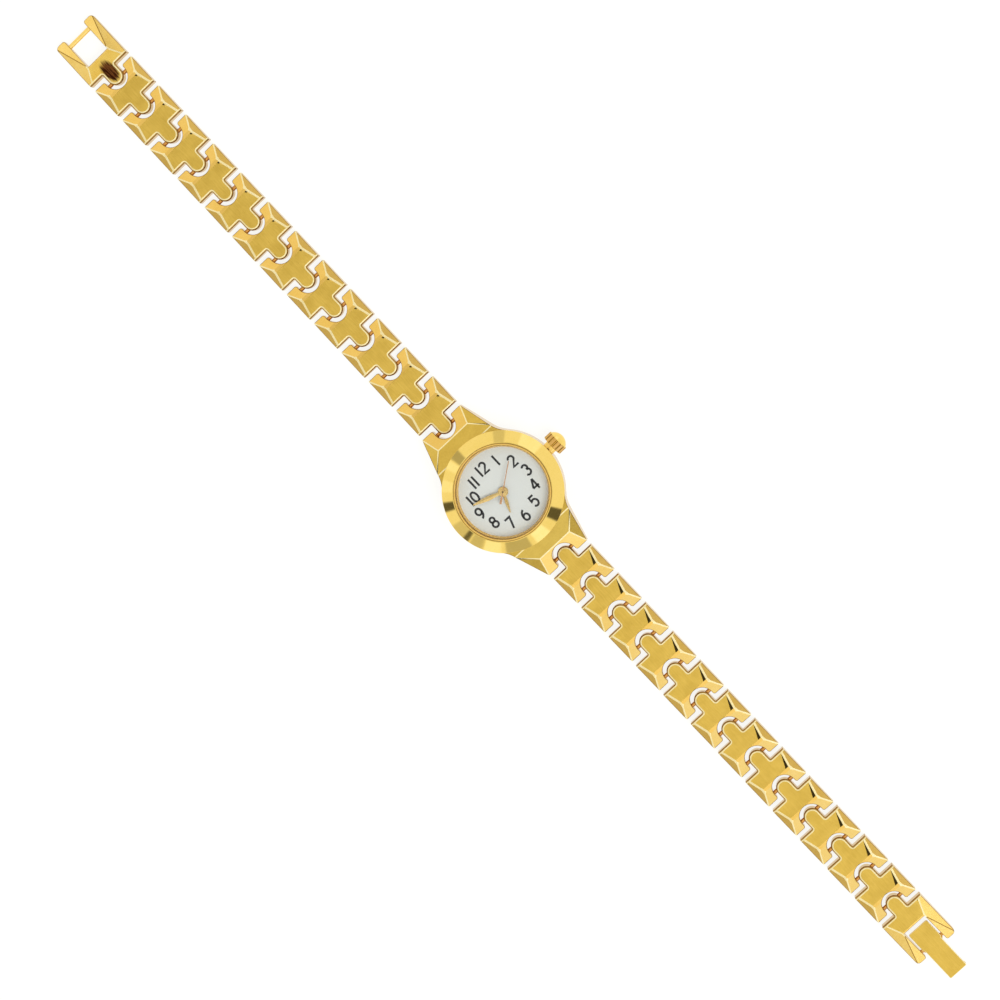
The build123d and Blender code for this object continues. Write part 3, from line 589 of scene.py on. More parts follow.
def place_piece(name, shape, finishes, body, slot, *nodes):
    """Make the piece, let it ride on its body and take the place of its CAD nodes."""
    mesh = bpy.data.meshes.new(name)
    shape.to_mesh(mesh)
    shape.free()
    mesh.transform(Matrix.Scale(MM, 4))
    for finish in finishes:
        mesh.materials.append(finish)
    mesh.polygons.foreach_set("use_smooth", [True] * len(mesh.polygons))
    mesh.set_sharp_from_angle(angle=SHARP_TURN)
    piece = bpy.data.objects.new(name, mesh)
    bpy.context.scene.collection.objects.link(piece)
    weighted = piece.modifiers.new("flat facets", "WEIGHTED_NORMAL")
    weighted.keep_sharp = True
    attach(piece, body)
    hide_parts(*nodes)


def size_of(node):
    """Lowest and highest corner of a CAD node, in millimetres."""
    low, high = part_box(node)
    return low / MM, high / MM


print("piece helper ready")

# %% [markdown]
# The bracelet's link is a jigsaw piece: a tongue with a round end towards the head, and a round
# notch away from it that the next tongue lies in. Its width, height and length come from the CAD
# box of the first link. The rest are the sizes that the CAD solid has too. They are measured from
# the shoulder line, with the tongue below it and the ears above.

# %% Link sizes
link_low, link_high = size_of("upper_link_01")
link_half = link_high.x
link_top = link_high.z
link_gap = 0.8
tongue_length = 2.7
tongue_half = 1.325
first_shoulder = link_low.y + tongue_length
link_body = link_high.y - first_shoulder
link_pitch = link_body + link_gap
notch_half = 1.85
notch_depth = 2.55
mouth_radius = 0.35
root_radius = 0.12
corner_radius = 0.1
print("link", round(2 * link_half, 2), "wide, pitch", round(link_pitch, 2))

# %% [markdown]
# Only the right half of an outline is written, and the left half is its mirror image. The two end
# links and the lugs have the same tongue or the same ears, so each is a list of its own.

# %% Tongue and notch


def tongue_half_outline():
    """The right half of a tongue and its shoulder, from the tip up."""
    return [
        (tongue_half, -tongue_length, tongue_half),
        (tongue_half, 0, root_radius),
        (link_half, 0, 0),
    ]


def notched_end(across, end):
    """The right half of a notched end: out along the ear, then down to the notch's bottom."""
    return [
        (across, end, corner_radius),
        (notch_half, end, mouth_radius),
        (notch_half, end - notch_depth, notch_half),
    ]


print("tongue", tongue_length, "long, notch", notch_depth, "deep")

# %% [markdown]
# The raised top is flat, and three facets slope away from it: two triangles at the sides and one
# that runs down both ears. Each is ground with one plane through three corners. The faces are then
# told apart by how far they lean, and each kind takes its finish. The fold at the ears is a soft
# wide one on the real link, so it gets a broad second cut.

# %% Facets of the top
SATIN, POLISHED, EDGE, RIM, MIRROR, PIN, WALL = range(7)
shared_finishes = (burnished_edge_highlight, rim_painted_shade, mirror_gold, pin_painted_shade, wall_painted_shade)
link_finishes = (satin_gold, polished_gold, *shared_finishes)
FLAT_LEAN, WALL_LEAN, SIDE_LEAN = 0.996, 0.3, 0.05
flat_at_shoulder = 3.34
ear_bend_width = 0.5


def at_ears(first, second):
    """The crease between the flat top and the facet that runs down both ears."""
    return max(abs(first.x), abs(second.x)) < SIDE_LEAN


def grind_top(shape, corner_across, corner_along, end, drop):
    """The three facets that slope from the flat top."""
    corner = (corner_across, corner_along, link_top)
    other_corner = (-corner_across, corner_along, link_top)
    shave(shape, corner, other_corner, (0, end, link_top - drop))
    for side in (1, -1):
        shave(
            shape,
            (side * flat_at_shoulder, 0, link_top),
            (side * corner_across, corner_along, link_top),
            (side * link_half, end, link_top - drop),
        )
    for face in shape.faces:
        lean = face.normal.z
        is_wall = abs(lean) < WALL_LEAN
        face.material_index = SATIN if lean > FLAT_LEAN else WALL if is_wall else POLISHED
    burnish(shape, at_ears, ear_bend_width, POLISHED)


print("facets slope from", round(link_top, 2))

# %% [markdown]
# Beside the flat top, towards the crown, each link shows a narrow dark wedge. It is a small facet
# that leans a few degrees more than the top and so mirrors another part of the room. The top face
# is split along the wedge's inner line, and the corners beyond that line are lowered.

# %% Small facet
small_lean = math.radians(7)
small_facet_lines = {1: ((2.1, 2.85), (3.05, 1.05)), -1: ((-3.05, 0.5), (-2.1, 2.4))}


def small_facet(shape, start, stop):
    """Tip the corner of the flat top that lies outside the line from start to stop."""
    start, stop = Vector(start), Vector(stop)
    run = (stop - start).normalized()
    away = Vector((run.y, -run.x))
    if away.x * start.x < 0:
        away = -away
    flats = [face for face in shape.faces if face.material_index == SATIN]
    top = max(flats, key=lambda face: face.calc_area())
    bmesh.ops.bisect_plane(
        shape, geom=[top] + top.edges[:] + top.verts[:], dist=1e-5,
        plane_co=(*start, link_top), plane_no=(*away, 0),
    )
    for face in [face for face in shape.faces if face.material_index == SATIN]:
        reaches = [away.dot(v.co.xy - start) for v in face.verts]
        if min(reaches) > -SAME_POINT:
            face.material_index = MIRROR
            for vertex, reach in zip(face.verts, reaches):
                vertex.co.z -= max(0, reach) * math.tan(small_lean)
    shape.normal_update()


print("small facet leans", round(math.degrees(small_lean)), "degrees")

# %% [markdown]
# A fine pale line runs along each crease and round the tongue and shoulders, where the edges are
# burnished, and its paler gold is a painted highlight. Below it lies a thin dark one, a painted
# reflection of the gap that the rounded rim mirrors. The creases are ground first. Then the top rim
# is rounded, and the lower part of its curve takes the deep tone as painted shade. All other rims
# get a small round that stays inside the link's corner radius.

# %% Creases and rims
NEARLY_FLAT, LEANS_SIDEWAYS = 0.99, 0.15
crease_width = 0.22
edge_width = 0.38
edge_reach = 0.25
edge_turns_dark = 0.8
rim_width = 0.08


def beside_top(first, second):
    """A crease between a side facet and the top."""
    sideways = max(abs(first.x), abs(second.x)) > LEANS_SIDEWAYS
    return sideways and max(first.z, second.z) > NEARLY_FLAT


def along_ear(first, second):
    """A crease between a side facet and an ear."""
    sideways = max(abs(first.x), abs(second.x)) > LEANS_SIDEWAYS
    return sideways and max(first.z, second.z) < NEARLY_FLAT


def soften_rims(shape):
    """A small round on each rim that has none yet."""
    rims = [
        edge for edge in square_edges(shape)
        if all(face.material_index not in (EDGE, RIM) for face in edge.link_faces)
    ]
    # The rounds take the deep rim gold, a painted reflection of the gap.
    soften(shape, rims, rim_width, 2, RIM)


def finish_edges(shape, ear_crease_width, ear_finish, small_line):
    """A burnished line on the creases and round the tongue as a painted highlight, and rims
    darkened as painted shade.
    """
    burnish(shape, beside_top, crease_width, EDGE)
    burnish(shape, along_ear, ear_crease_width, ear_finish)
    small_facet(shape, *small_line)
    top_rim = [
        edge for edge in square_edges(shape, STEEP_TURN)
        if all(v.co.z > link_top - edge_reach and v.co.y < 0.01 for v in edge.verts)
    ]
    soften(shape, top_rim, edge_width, 3, EDGE)
    # The lower part of the rounded top rim is painted dark, a painted reflection of the gap.
    for face in shape.faces:
        if face.material_index == EDGE and face.normal.z < edge_turns_dark:
            face.material_index = RIM
    soften_rims(shape)


print("crease", crease_width, "wide, rim", rim_width)

# %% [markdown]
# The next link's tongue turns on a round pin across the ears. It shows twice: as a glint in the
# gap, and as a small polished disc in each outer side, where the pin's end is filed almost flush.
# A turned rod with softened ends is laid across for each.

# %% Pins
pin_radius = 0.3
pin_height = 0.95
pin_from_shoulder = 1.77
pin_end_share = 0.9
pin_stands_out = 0.015


def cross_rod(along, height, radius, half_length, finish=PIN):
    """A rod across the bracelet with softened ends."""
    outline = rounded([
        (0, -half_length, 0),
        (radius, -half_length, radius / 3),
        (radius, half_length, radius / 3),
        (0, half_length, 0),
    ], closed=False)
    rod = turned(outline, steps=64, closed=False)
    lay = Matrix.Translation((0, along, height)) @ Matrix.Rotation(math.pi / 2, 4, "Y")
    bmesh.ops.transform(rod, matrix=lay, verts=rod.verts)
    return painted(rod, finish)


print("pin", round(2 * pin_radius, 2), "thick")

# %% [markdown]
# The twelve links of a strand are one model, set down again at each pitch. The six o'clock strand
# is turned by half a turn, and has its small facet at the other side, since the same side faces
# the crown on both.

# %% Links in place
flat_corner = (2.6, 2.85)
ear_drop = 0.6


def link_shape(side):
    """One link with its pin, for the strand on this side."""
    half = tongue_half_outline() + notched_end(link_half, link_body)
    shape = prism(rounded(mirrored(half)), 0, link_top)
    grind_top(shape, *flat_corner, link_body, ear_drop)
    finish_edges(shape, crease_width, EDGE, small_facet_lines[side])
    pin_along = link_pitch - pin_from_shoulder
    # The pin takes the redder pin gold, painted shade.
    pin = cross_rod(pin_along, pin_height, pin_radius, notch_half + mouth_radius)
    pin_ends = cross_rod(
        pin_along, pin_height, pin_radius * pin_end_share, link_half + pin_stands_out, POLISHED
    )
    return joined(shape, pin, pin_ends)


def seated(shape, side, shoulder):
    """A copy at its place: side 1 is the twelve o'clock strand and -1 the six o'clock one."""
    turn = Matrix.Identity(4) if side > 0 else Matrix.Rotation(math.pi, 4, "Z")
    copy = shape.copy()
    place = turn @ Matrix.Translation((0, shoulder, 0))
    bmesh.ops.transform(copy, matrix=place, verts=copy.verts)
    return copy


LINKS = 12
for strand, side in (("upper", 1), ("lower", -1)):
    model = link_shape(side)
    for number in range(LINKS):
        node = f"{strand}_link_{number + 1:02d}"
        shape = seated(model, side, first_shoulder + number * link_pitch)
        place_piece(f"{node}_gilt", shape, link_finishes, node, "satin_gold", node)
    model.free()
end_shoulder = first_shoulder + LINKS * link_pitch
print("links placed, last shoulder at", round(end_shoulder, 2))

# %% [markdown]
# The frame link's top carries a painted reflection: a dark brown patch with fine streaks along the
# strand, which stands for something dark mirrored in the flat top. An oval round the patch's middle
# gives its reach, and the streaks break up its edge, so no outline of it can be seen. Outside it
# the gold is painted a little brighter than on the links.

# %% Painted reflection on the frame link
patch_middle = end_shoulder - 0.3
patch_across, patch_along = 1.9, 5.5
streak_size, streak_share = 0.16, 0.9
patch_starts, patch_ends = 0.75, 1.3

# The dark patch is a painted reflection, and the brighter gold round it a painted highlight.
frame_painted_reflection, bench = new_finish("frame_painted_reflection")
x, y, z = bench.parts(place_on_piece(bench))
streaks = cloud(bench, streak_size, (1, 9, 1), detail=4)
from_middle = y - patch_middle
oval = x * x / patch_across + from_middle * from_middle / patch_along
dark = 1 - (oval + streaks * streak_share).rise(patch_starts, patch_ends)
reflected_dark = bench.mix(streaks.rise(0.42, 0.66), (0.04, 0.009, 0.003), (0.20, 0.07, 0.018))
gilt = bench.mix(patches(cloud(bench, TONE_SIZE)), (0.95, 0.61, 0.11), (1.0, 0.69, 0.15))
metal = bench.node(
    "ShaderNodeBsdfPrincipled",
    sockets={
        "Base Color": bench.mix(dark, gilt, reflected_dark),
        "Metallic": 1.0,
        "Roughness": streaks * 0.2 + 0.1,
    },
)
close_finish(bench, metal)
print("reflection patch at", round(patch_middle, 2))

# %% [markdown]
# The two end links share the tongue and the shoulders, but are open frames with two arms. The one
# at twelve o'clock carries a round bar that the clasp's tongue hooks over. The arms' creases are
# narrow and take the rims' deep tone instead of a pale one: a fine dark line of painted shade.

# %% Frame link with its bar
arm_end_radius = 0.6
arm_crease_width = 0.13
arm_drop = 0.8


def open_link(start, window_half, length, small_across):
    """A link whose notch is a window between two arms."""
    half = tongue_half_outline() + [
        (link_half, length, arm_end_radius),
        (window_half, length, mouth_radius),
        (window_half, start, root_radius),
    ]
    shape = prism(rounded(mirrored(half)), 0, link_top)
    grind_top(shape, window_half, start, length, arm_drop)
    # The arm creases take the rim gold, a fine line of painted shade.
    finish_edges(shape, arm_crease_width, RIM, ((small_across, 0), (small_across, 1)))
    return shape


frame_length = size_of("frame_link")[1].y - end_shoulder
bar_along = frame_length - 1.3
bar_radius = 0.35
bar_height = 0.9
bar_half = link_half - 0.1
frame_shape = joined(
    open_link(start=2.4, window_half=2.05, length=frame_length, small_across=2.75),
    cross_rod(bar_along, bar_height, bar_radius, bar_half, POLISHED),
)
# The frame link's top takes the painted reflection patch, and its arm facets the paler gold of
# painted highlight.
place_piece(
    "frame_link_gilt", seated(frame_shape, 1, end_shoulder),
    (frame_painted_reflection, arm_painted_highlight, *shared_finishes), "frame_end", "satin_gold", "frame_link",
)
frame_shape.free()
print("frame link", round(frame_length, 2), "long")

# %% [markdown]
# The link at six o'clock is the same open frame, a little longer, and its arms hold the pin that
# the clasp's tongue turns on.

# %% Hook link with its pin
hook_length = -size_of("hook_link")[0].y - end_shoulder
hook_pin_along = hook_length - 1.15
hook_shape = joined(
    open_link(start=2.9, window_half=2.1, length=hook_length, small_across=-2.9),
    cross_rod(hook_pin_along, pin_height, pin_radius, link_half + pin_stands_out),
)
# Its polished arm facets take the paler arm gold, a painted highlight.
place_piece(
    "hook_link_gilt", seated(hook_shape, -1, end_shoulder),
    (satin_gold, arm_painted_highlight, *shared_finishes), "hook_end", "satin_gold", "hook_link",
)
hook_shape.free()
print("hook link", round(hook_length, 2), "long")

# %% [markdown]
# The clasp's tongue is cut from sheet: a flat plate with a rolled barrel that turns on the pin and
# a lip bent down at its tip. Sheet metal has no sharp corners, so its whole outline is softened.

# %% Folding tongue
tip_along = -size_of("clasp_tongue")[0].y - end_shoulder
plate_top = 1.5
plate_thick = 0.4
wide_half, narrow_half = 1.8, 1.6
plate_behind_pin = 3.2
barrel_radius = 0.55
plate_half = [
    (wide_half, hook_pin_along - plate_behind_pin, 0.25),
    (wide_half, hook_pin_along, 0.1),
    (narrow_half, hook_pin_along + 0.2, 0.1),
    (narrow_half, tip_along, 0.2),
]
plate = prism(rounded(mirrored(plate_half)), plate_top - plate_thick, plate_top)
# The softened edges of plate and lip take the pale edge gold, a painted highlight.
soften(plate, square_edges(plate), 0.07, 3, EDGE)
lip_half = [(narrow_half, tip_along - plate_thick, 0), (narrow_half, tip_along, 0.1)]
lip = prism(rounded(mirrored(lip_half)), 0, plate_top - 0.1)
soften(lip, square_edges(lip), 0.06, 2, EDGE)
barrel = cross_rod(hook_pin_along, pin_height, barrel_radius, wide_half, SATIN)
tongue_shape = joined(plate, lip, barrel)
place_piece(
    "clasp_tongue_gilt", seated(tongue_shape, -1, end_shoulder), link_finishes,
    "clasp_tongue", "satin_gold", "clasp_tongue",
)
tongue_shape.free()
print("tongue reaches", round(tip_along + end_shoulder, 2))

# %% [markdown]
# The head's middle is a turned ring with a neck that the bezel is pressed over. It is turned from
# its profile, with a slanted and rounded lower rim and a fine radius under the bezel.

# %% Middle ring
case_low, case_high = size_of("case")
case_radius = size_of("bezel")[1].x
back_top = 0.6
bezel_seat = size_of("bezel")[0].z
neck_radius = 8.3
case_bore = 7.6
ring_profile = rounded([
    (case_bore, back_top, 0),
    (case_radius - 0.45, back_top, 0.08),
    (case_radius, back_top + 0.8, 0.25),
    (case_radius, bezel_seat, 0.04),
    (neck_radius, bezel_seat, 0),
    (neck_radius, case_high.z, 0),
    (case_bore, case_high.z, 0),
])
# The whole ring takes the darker wall gold: painted shade.
middle_ring = painted(turned(ring_profile, steps=160), WALL)
print("middle ring", round(2 * case_radius, 2), "across")

# %% [markdown]
# The lugs flow out of the ring in a wide curve and then run straight to their ends. The curve is
# an arc that touches both: the ring, and the straight flank that leans inward by the lug's slope.
# Its centre is worked out from these two, so the flow stays smooth if a size changes. The inner
# edge is hidden in the ring's wall.

# %% The lugs' plan
lug_end = case_high.y
lug_half = 3.9
lug_slope = 0.283
flow_radius = 5.0
flow_steps = 10

slope_angle = math.atan(lug_slope)
line_reach = math.cos(slope_angle) * lug_half + math.sin(slope_angle) * lug_end
flow_angle = slope_angle + math.acos((line_reach + flow_radius) / (case_radius + flow_radius))
flow_centre = Vector((math.cos(flow_angle), math.sin(flow_angle))) * (case_radius + flow_radius)


def flow_curve():
    """The arc that leads from the ring to the lug's flank."""
    curve = []
    for step in range(flow_steps + 1):
        angle = flow_angle + math.pi + (slope_angle - flow_angle) * step / flow_steps
        point = flow_centre + Vector((math.cos(angle), math.sin(angle))) * flow_radius
        curve.append((point.x, point.y, 0))
    return curve


def inner_arc():
    """The lugs' hidden inner edge, which stays inside the ring's wall."""
    radius = (case_bore + case_radius) / 2
    start, stop = math.pi / 2, flow_angle
    angles = [start + (stop - start) * n / flow_steps for n in range(flow_steps + 1)]
    return [
        (radius * math.cos(a) if n else 0, radius * math.sin(a), 0)
        for n, a in enumerate(angles)
    ]


print("lugs reach", round(lug_end, 2))

# %% [markdown]
# The lugs are ground with the same kind of facets as the links, only steeper: one slopes up to the
# bezel, one down to the ends, and two triangles lie at the sides. Below, a slant lifts the ends
# off the wrist. The facets at the ends are polished and the others satin, and every crease between
# them is burnished, with a paler gold as painted highlight. Walls and rims take darker golds as
# painted shade.

# %% Lugs
lug_corner = (3.0, lug_end - 2.8, 3.8)
lug_crease = (5.1, lug_end - 4.9, 4.42)
lug_tip_height = 2.1
lug_crease_width = 0.19
slant_start, slant_stop = lug_end - 5.6, lug_end - 2.9
END_LEANS = 0.5, 0.93


def lug_pair():
    """The two lugs of one end with their pin."""
    half = inner_arc() + flow_curve() + notched_end(lug_half, lug_end)
    shape = prism(rounded(mirrored(half)), case_low.z, bezel_seat)
    across, along, height = lug_corner
    fall = (lug_crease[2] - height) / (along - lug_crease[1])
    shave(shape, (0, along, height), (1, along, height), (0, along - 1, height + fall))
    shave(shape, (0, along, height), (1, along, height), (0, lug_end, lug_tip_height))
    for side in (1, -1):
        shave(
            shape,
            (side * across, along, height),
            (side * lug_crease[0], lug_crease[1], lug_crease[2]),
            (side * lug_half, lug_end, lug_tip_height),
        )
    low_line = (0, slant_start, back_top), (1, slant_start, back_top)
    shave(shape, *low_line, (0, slant_stop, case_low.z), keep_below=False)
    # Walls take the darker wall gold as painted shade.
    for face in shape.faces:
        at_end = END_LEANS[0] < face.normal.z < END_LEANS[1] and abs(face.normal.x) < 0.1
        is_wall = abs(face.normal.z) < WALL_LEAN
        face.material_index = POLISHED if at_end else WALL if is_wall else SATIN
    # Burnished creases take the pale edge gold, a painted highlight, and the rounded rims the deep
    # rim gold, painted shade.
    burnish(shape, lambda first, second: True, lug_crease_width, EDGE)
    soften_rims(shape)
    pin = cross_rod(first_shoulder - pin_from_shoulder, pin_height, pin_radius, link_half)
    return joined(shape, pin)


pair = lug_pair()
far_pair = pair.copy()
half_turn = Matrix.Rotation(math.pi, 4, "Z")
bmesh.ops.transform(far_pair, matrix=half_turn, verts=far_pair.verts)
place_piece(
    "case_gilt", joined(middle_ring, pair, far_pair),
    (lug_satin, polished_gold, *shared_finishes), "head", "polished_gold", "case", "lug_pins",
)
print("two pairs of lugs,", round(2 * lug_half, 2), "wide at their ends")

# %% [markdown]
# The bezel is the brightest part of the watch: a polished cone pressed over the neck, with a small
# flat land below and a fine lip that holds the crystal. It is turned from its profile with a small
# radius at each corner, so the land keeps a line of light. The lip's inner side lies in shade, and
# that shade is painted: it takes the deep tone of the rims and shows as a dark line round the dial.

# %% Bezel
bezel_top = size_of("bezel")[1].z
crystal_seat = size_of("crystal")[0].z
opening = 7.27
ledge = 6.95
lip_width = 0.12
bezel_profile = rounded([
    (case_radius, bezel_seat, 0.05),
    (case_radius, bezel_seat + 0.25, 0.1),
    (opening + 0.2, bezel_top, 0.05),
    (opening + 0.1, bezel_top - 0.03, 0),
    (opening, bezel_top - 0.06, 0.03),
    (opening, crystal_seat, 0),
    (ledge, crystal_seat, 0),
    (ledge, case_high.z, 0),
    (neck_radius, case_high.z, 0),
    (neck_radius, bezel_seat, 0),
])


def out_from_axis(face):
    """How far a face's middle lies from the upright axis."""
    return face.calc_center_median().xy.length


bezel_shape = turned(bezel_profile, steps=240)
# The lip's inner faces take the rim gold: painted shade.
for face in bezel_shape.faces:
    if out_from_axis(face) < opening + lip_width:
        face.material_index = 1
place_piece(
    "bezel_gilt", bezel_shape, (bezel_gold, rim_painted_shade), "head", "polished_gold", "bezel"
)
print("bezel cone of", len(bezel_profile), "profile points")

# %% [markdown]
# The crystal is a flat disc with a fine bevel at its upper edge, where a real one would chip if it
# were left sharp. Under it a gilt ring slopes down to the dial and hides the gap at the dial's rim.

# %% Crystal and inner ring
crystal_low, crystal_high = size_of("crystal")
crystal_radius = crystal_high.x
crystal_bevel = 0.12
crystal_profile = rounded([
    (0, crystal_low.z, 0),
    (crystal_radius, crystal_low.z, 0.05),
    (crystal_radius, crystal_high.z - crystal_bevel, 0.03),
    (crystal_radius - crystal_bevel, crystal_high.z, 0.03),
    (0, crystal_high.z, 0),
], closed=False)
place_piece(
    "crystal_glass", turned(crystal_profile, steps=160, closed=False), (crystal_glass,),
    "head", "crystal", "crystal",
)

dial_low, dial_high = size_of("dial")
ring_high = size_of("inner_ring")[1]
inner_profile = rounded([
    (6.7, dial_high.z, 0.03),
    (ring_high.x, dial_high.z, 0),
    (ring_high.x, ring_high.z, 0),
    (ledge, ring_high.z, 0.03),
])
place_piece(
    "inner_ring_gilt", turned(inner_profile, steps=160), (ring_gold_painted_light,),
    "head", "polished_gold", "inner_ring",
)
print("crystal", round(2 * crystal_radius, 2), "across")

# %% [markdown]
# The numerals are printed upright in strokes of even width. Each figure is written as a few pen
# strokes in a box one unit high, built from straight runs and oval bows. A text object would bring
# in a font, and its letters would differ from the plain ones on such a dial.

# %% Figures as pen strokes


def bow(across, up, half_width, half_height, start, stop, steps=18):
    """Points on an oval arc, from start to stop degrees."""
    angles = [math.radians(start + (stop - start) * n / steps) for n in range(steps + 1)]
    return [(across + half_width * math.cos(a), up + half_height * math.sin(a)) for a in angles]


six = [bow(0, -0.17, 0.24, 0.275, 0, 360), bow(0.18, -0.14, 0.42, 0.585, 180, 98)]
figures = {
    "0": [bow(0, 0, 0.25, 0.445, 0, 360)],
    "1": [[(0, -0.5), (0, 0.5)]],
    "2": [bow(0, 0.2, 0.24, 0.245, 165, -25) + [(-0.25, -0.445), (0.27, -0.445)]],
    "3": [bow(-0.02, 0.215, 0.22, 0.23, 150, -85), bow(-0.02, -0.195, 0.25, 0.25, 88, -150)],
    "4": [[(0.13, -0.5), (0.13, 0.5)], [(0.11, 0.49), (-0.28, -0.2)], [(-0.3, -0.2), (0.3, -0.2)]],
    "5": [[(0.23, 0.445), (-0.17, 0.445), (-0.21, 0.05)] + bow(0, -0.15, 0.26, 0.295, 130, -145)],
    "6": six,
    "7": [[(-0.26, 0.445), (0.25, 0.445), (-0.08, -0.5)]],
    "8": [bow(0, 0.235, 0.2, 0.21, 0, 360), bow(0, -0.2, 0.25, 0.245, 0, 360)],
    "9": [[(-x, -y) for x, y in stroke] for stroke in six],
}
print("figures", " ".join(figures))

# %% [markdown]
# A stroke becomes a flat ribbon of ink that lies a hair above the dial. At a bend the ribbon is
# widened a little, so that its two sides keep their distance, and a closed stroke joins up with
# its own start.

# %% Ink
figure_height = 1.84
stroke_half = 0.16
figure_circle = {1: 4.8, 2: 4.6}
figure_width, one_width, figure_space = 0.56, 0.22, 0.14
sharpest_bend = 0.6


def ribbon(shape, points, level):
    """A flat ribbon along a pen stroke."""
    points = [Vector(p) for p in points]
    closed = (points[0] - points[-1]).length < 1e-6
    if closed:
        points.pop()
    sides = []
    count = len(points)
    for number, point in enumerate(points):
        before = points[number - 1] if closed or number else None
        after = points[(number + 1) % count] if closed or number < count - 1 else None
        ways = [(b - a).normalized() for a, b in ((before, point), (point, after)) if a and b]
        way = sum(ways, Vector((0, 0))).normalized()
        square = Vector((-way.y, way.x)) * stroke_half
        if len(ways) == 2:
            square /= max(sharpest_bend, ways[0].dot(way))
        sides.append([shape.verts.new((*(point + s * square), level)) for s in (1, -1)])
    pairs = list(zip(sides, sides[1:])) + ([(sides[-1], sides[0])] if closed else [])
    for (left, right), (next_left, next_right) in pairs:
        shape.faces.new((left, right, next_right, next_left))


def figure_ink(level):
    """The twelve numerals, each upright round its own middle."""
    ink = bmesh.new()
    for hour in range(1, 13):
        text = str(hour)
        widths = [one_width if mark == "1" else figure_width for mark in text]
        start = -(sum(widths) + figure_space * (len(text) - 1)) / 2
        angle = math.radians(90 - 30 * hour)
        centre = Vector((math.cos(angle), math.sin(angle))) * figure_circle[len(text)]
        for mark, width in zip(text, widths):
            middle = Vector((start + width / 2, 0))
            start += width + figure_space
            for stroke in figures[mark]:
                placed = [centre + (Vector(p) + middle) * figure_height for p in stroke]
                ribbon(ink, placed, level)
    return painted(ink, 1)


print("figures", figure_height, "high")

# %% [markdown]
# The dial itself is a thin plate with a hole for the hands' arbors. It is turned, and the ink is
# joined to it as a second finish of the same piece.

# %% Dial
dial_hole = 0.65
ink_lift = 0.01
dial_profile = rounded([
    (dial_hole, dial_low.z, 0),
    (dial_high.x, dial_low.z, 0),
    (dial_high.x, dial_high.z, 0.03),
    (dial_hole, dial_high.z, 0.03),
])
dial_plate = painted(turned(dial_profile, steps=128), 0)
dial_shape = joined(dial_plate, figure_ink(dial_high.z + ink_lift))
place_piece("dial_printed", dial_shape, (dial_white, dial_ink), "head", "dial_white", "dial")
print("dial", round(2 * dial_high.x, 2), "across")

# %% [markdown]
# The hour and minute hands are slim leaves, folded to a low ridge so one half always catches the
# light. A leaf is a row of five-cornered sections, wide at its middle and narrow at both ends.
# Each hand stands on its own hub, and the hubs are stacked at the middle of the dial.

# %% Hour and minute hands
hand_thick = 0.1
leaf_stations = [(0, 0.5), (0.28, 0.8), (0.5, 1.0), (0.8, 0.62), (1, 0.22)]
shoulder_share = 0.6


def leaf(length, half_width, level):
    """A ridged leaf hand that points along +Y."""
    shape = bmesh.new()
    rows = []
    for along, share in leaf_stations:
        w = half_width * share
        section = ((-w, 0), (-w, shoulder_share), (0, 1), (w, shoulder_share), (w, 0))
        rows.append([
            shape.verts.new((x, along * length, level + h * hand_thick)) for x, h in section
        ])
    corners = len(rows[0])
    for row, ahead in zip(rows, rows[1:]):
        for n in range(corners):
            m = (n + 1) % corners
            shape.faces.new((row[n], row[m], ahead[m], ahead[n]))
    shape.faces.new(rows[0])
    shape.faces.new(rows[-1])
    bmesh.ops.recalc_face_normals(shape, faces=shape.faces)
    return shape


def hub(radius, level):
    """A disc with a softened top edge."""
    high = level + hand_thick
    outline = [(0, level, 0), (radius, level, 0), (radius, high, 0.05), (0, high, 0)]
    return turned(rounded(outline, closed=False), steps=72, closed=False)


def turned_by(shape, degrees):
    """The shape turned clockwise, as hands turn."""
    turn = Matrix.Rotation(-math.radians(degrees), 4, "Z")
    bmesh.ops.transform(shape, matrix=turn, verts=shape.verts)
    return shape


hour, minute, second = 6, 48, 9
for name, length, half_width, hub_radius, degrees in (
    ("hour", 3.3, 0.26, 0.77, (hour + minute / 60) * 30),
    ("minute", 4.9, 0.36, 0.65, (minute + second / 60) * 6),
):
    level = size_of(f"{name}_hand")[0].z
    hand_shape = joined(leaf(length, half_width, level), hub(hub_radius, level))
    place_piece(
        f"{name}_leaf", turned_by(hand_shape, degrees), (hand_gold,),
        name, "hand_gold", f"{name}_hand",
    )
print("hands at", hour, minute)

# %% [markdown]
# The second hand is a plain thin stick with a wider tail that balances it. Its small hub is gilt
# like the other hands and covers theirs.

# %% Second hand
stick_half, tail_half, tail, reach = 0.08, 0.16, 1.85, 4.7
level = size_of("second_hand")[0].z
stick_outline = [
    (tail_half, -tail, 0.05),
    (tail_half, -tail / 2, 0.05),
    (stick_half, -tail / 2 + 0.1, 0.03),
    (stick_half * 0.8, reach, 0.03),
]
stick = prism(rounded(mirrored(stick_outline)), level, level + hand_thick)
soften(stick, square_edges(stick), 0.02, 2, 0)
second_shape = joined(stick, painted(hub(0.35, level), 1))
place_piece(
    "second_stick", turned_by(second_shape, second * 6), (second_gold, hand_gold),
    "second", "second_gold", "second_hand",
)
print("second hand at", second)

# %% [markdown]
# The crown has a coarsely fluted band for grip. The band's outline is drawn flute by flute, a
# rounded ridge and a narrow valley each, and extruded. The valleys lie in shade between the
# ridges, and that shade is painted: their faces take the deep tone of the rims.

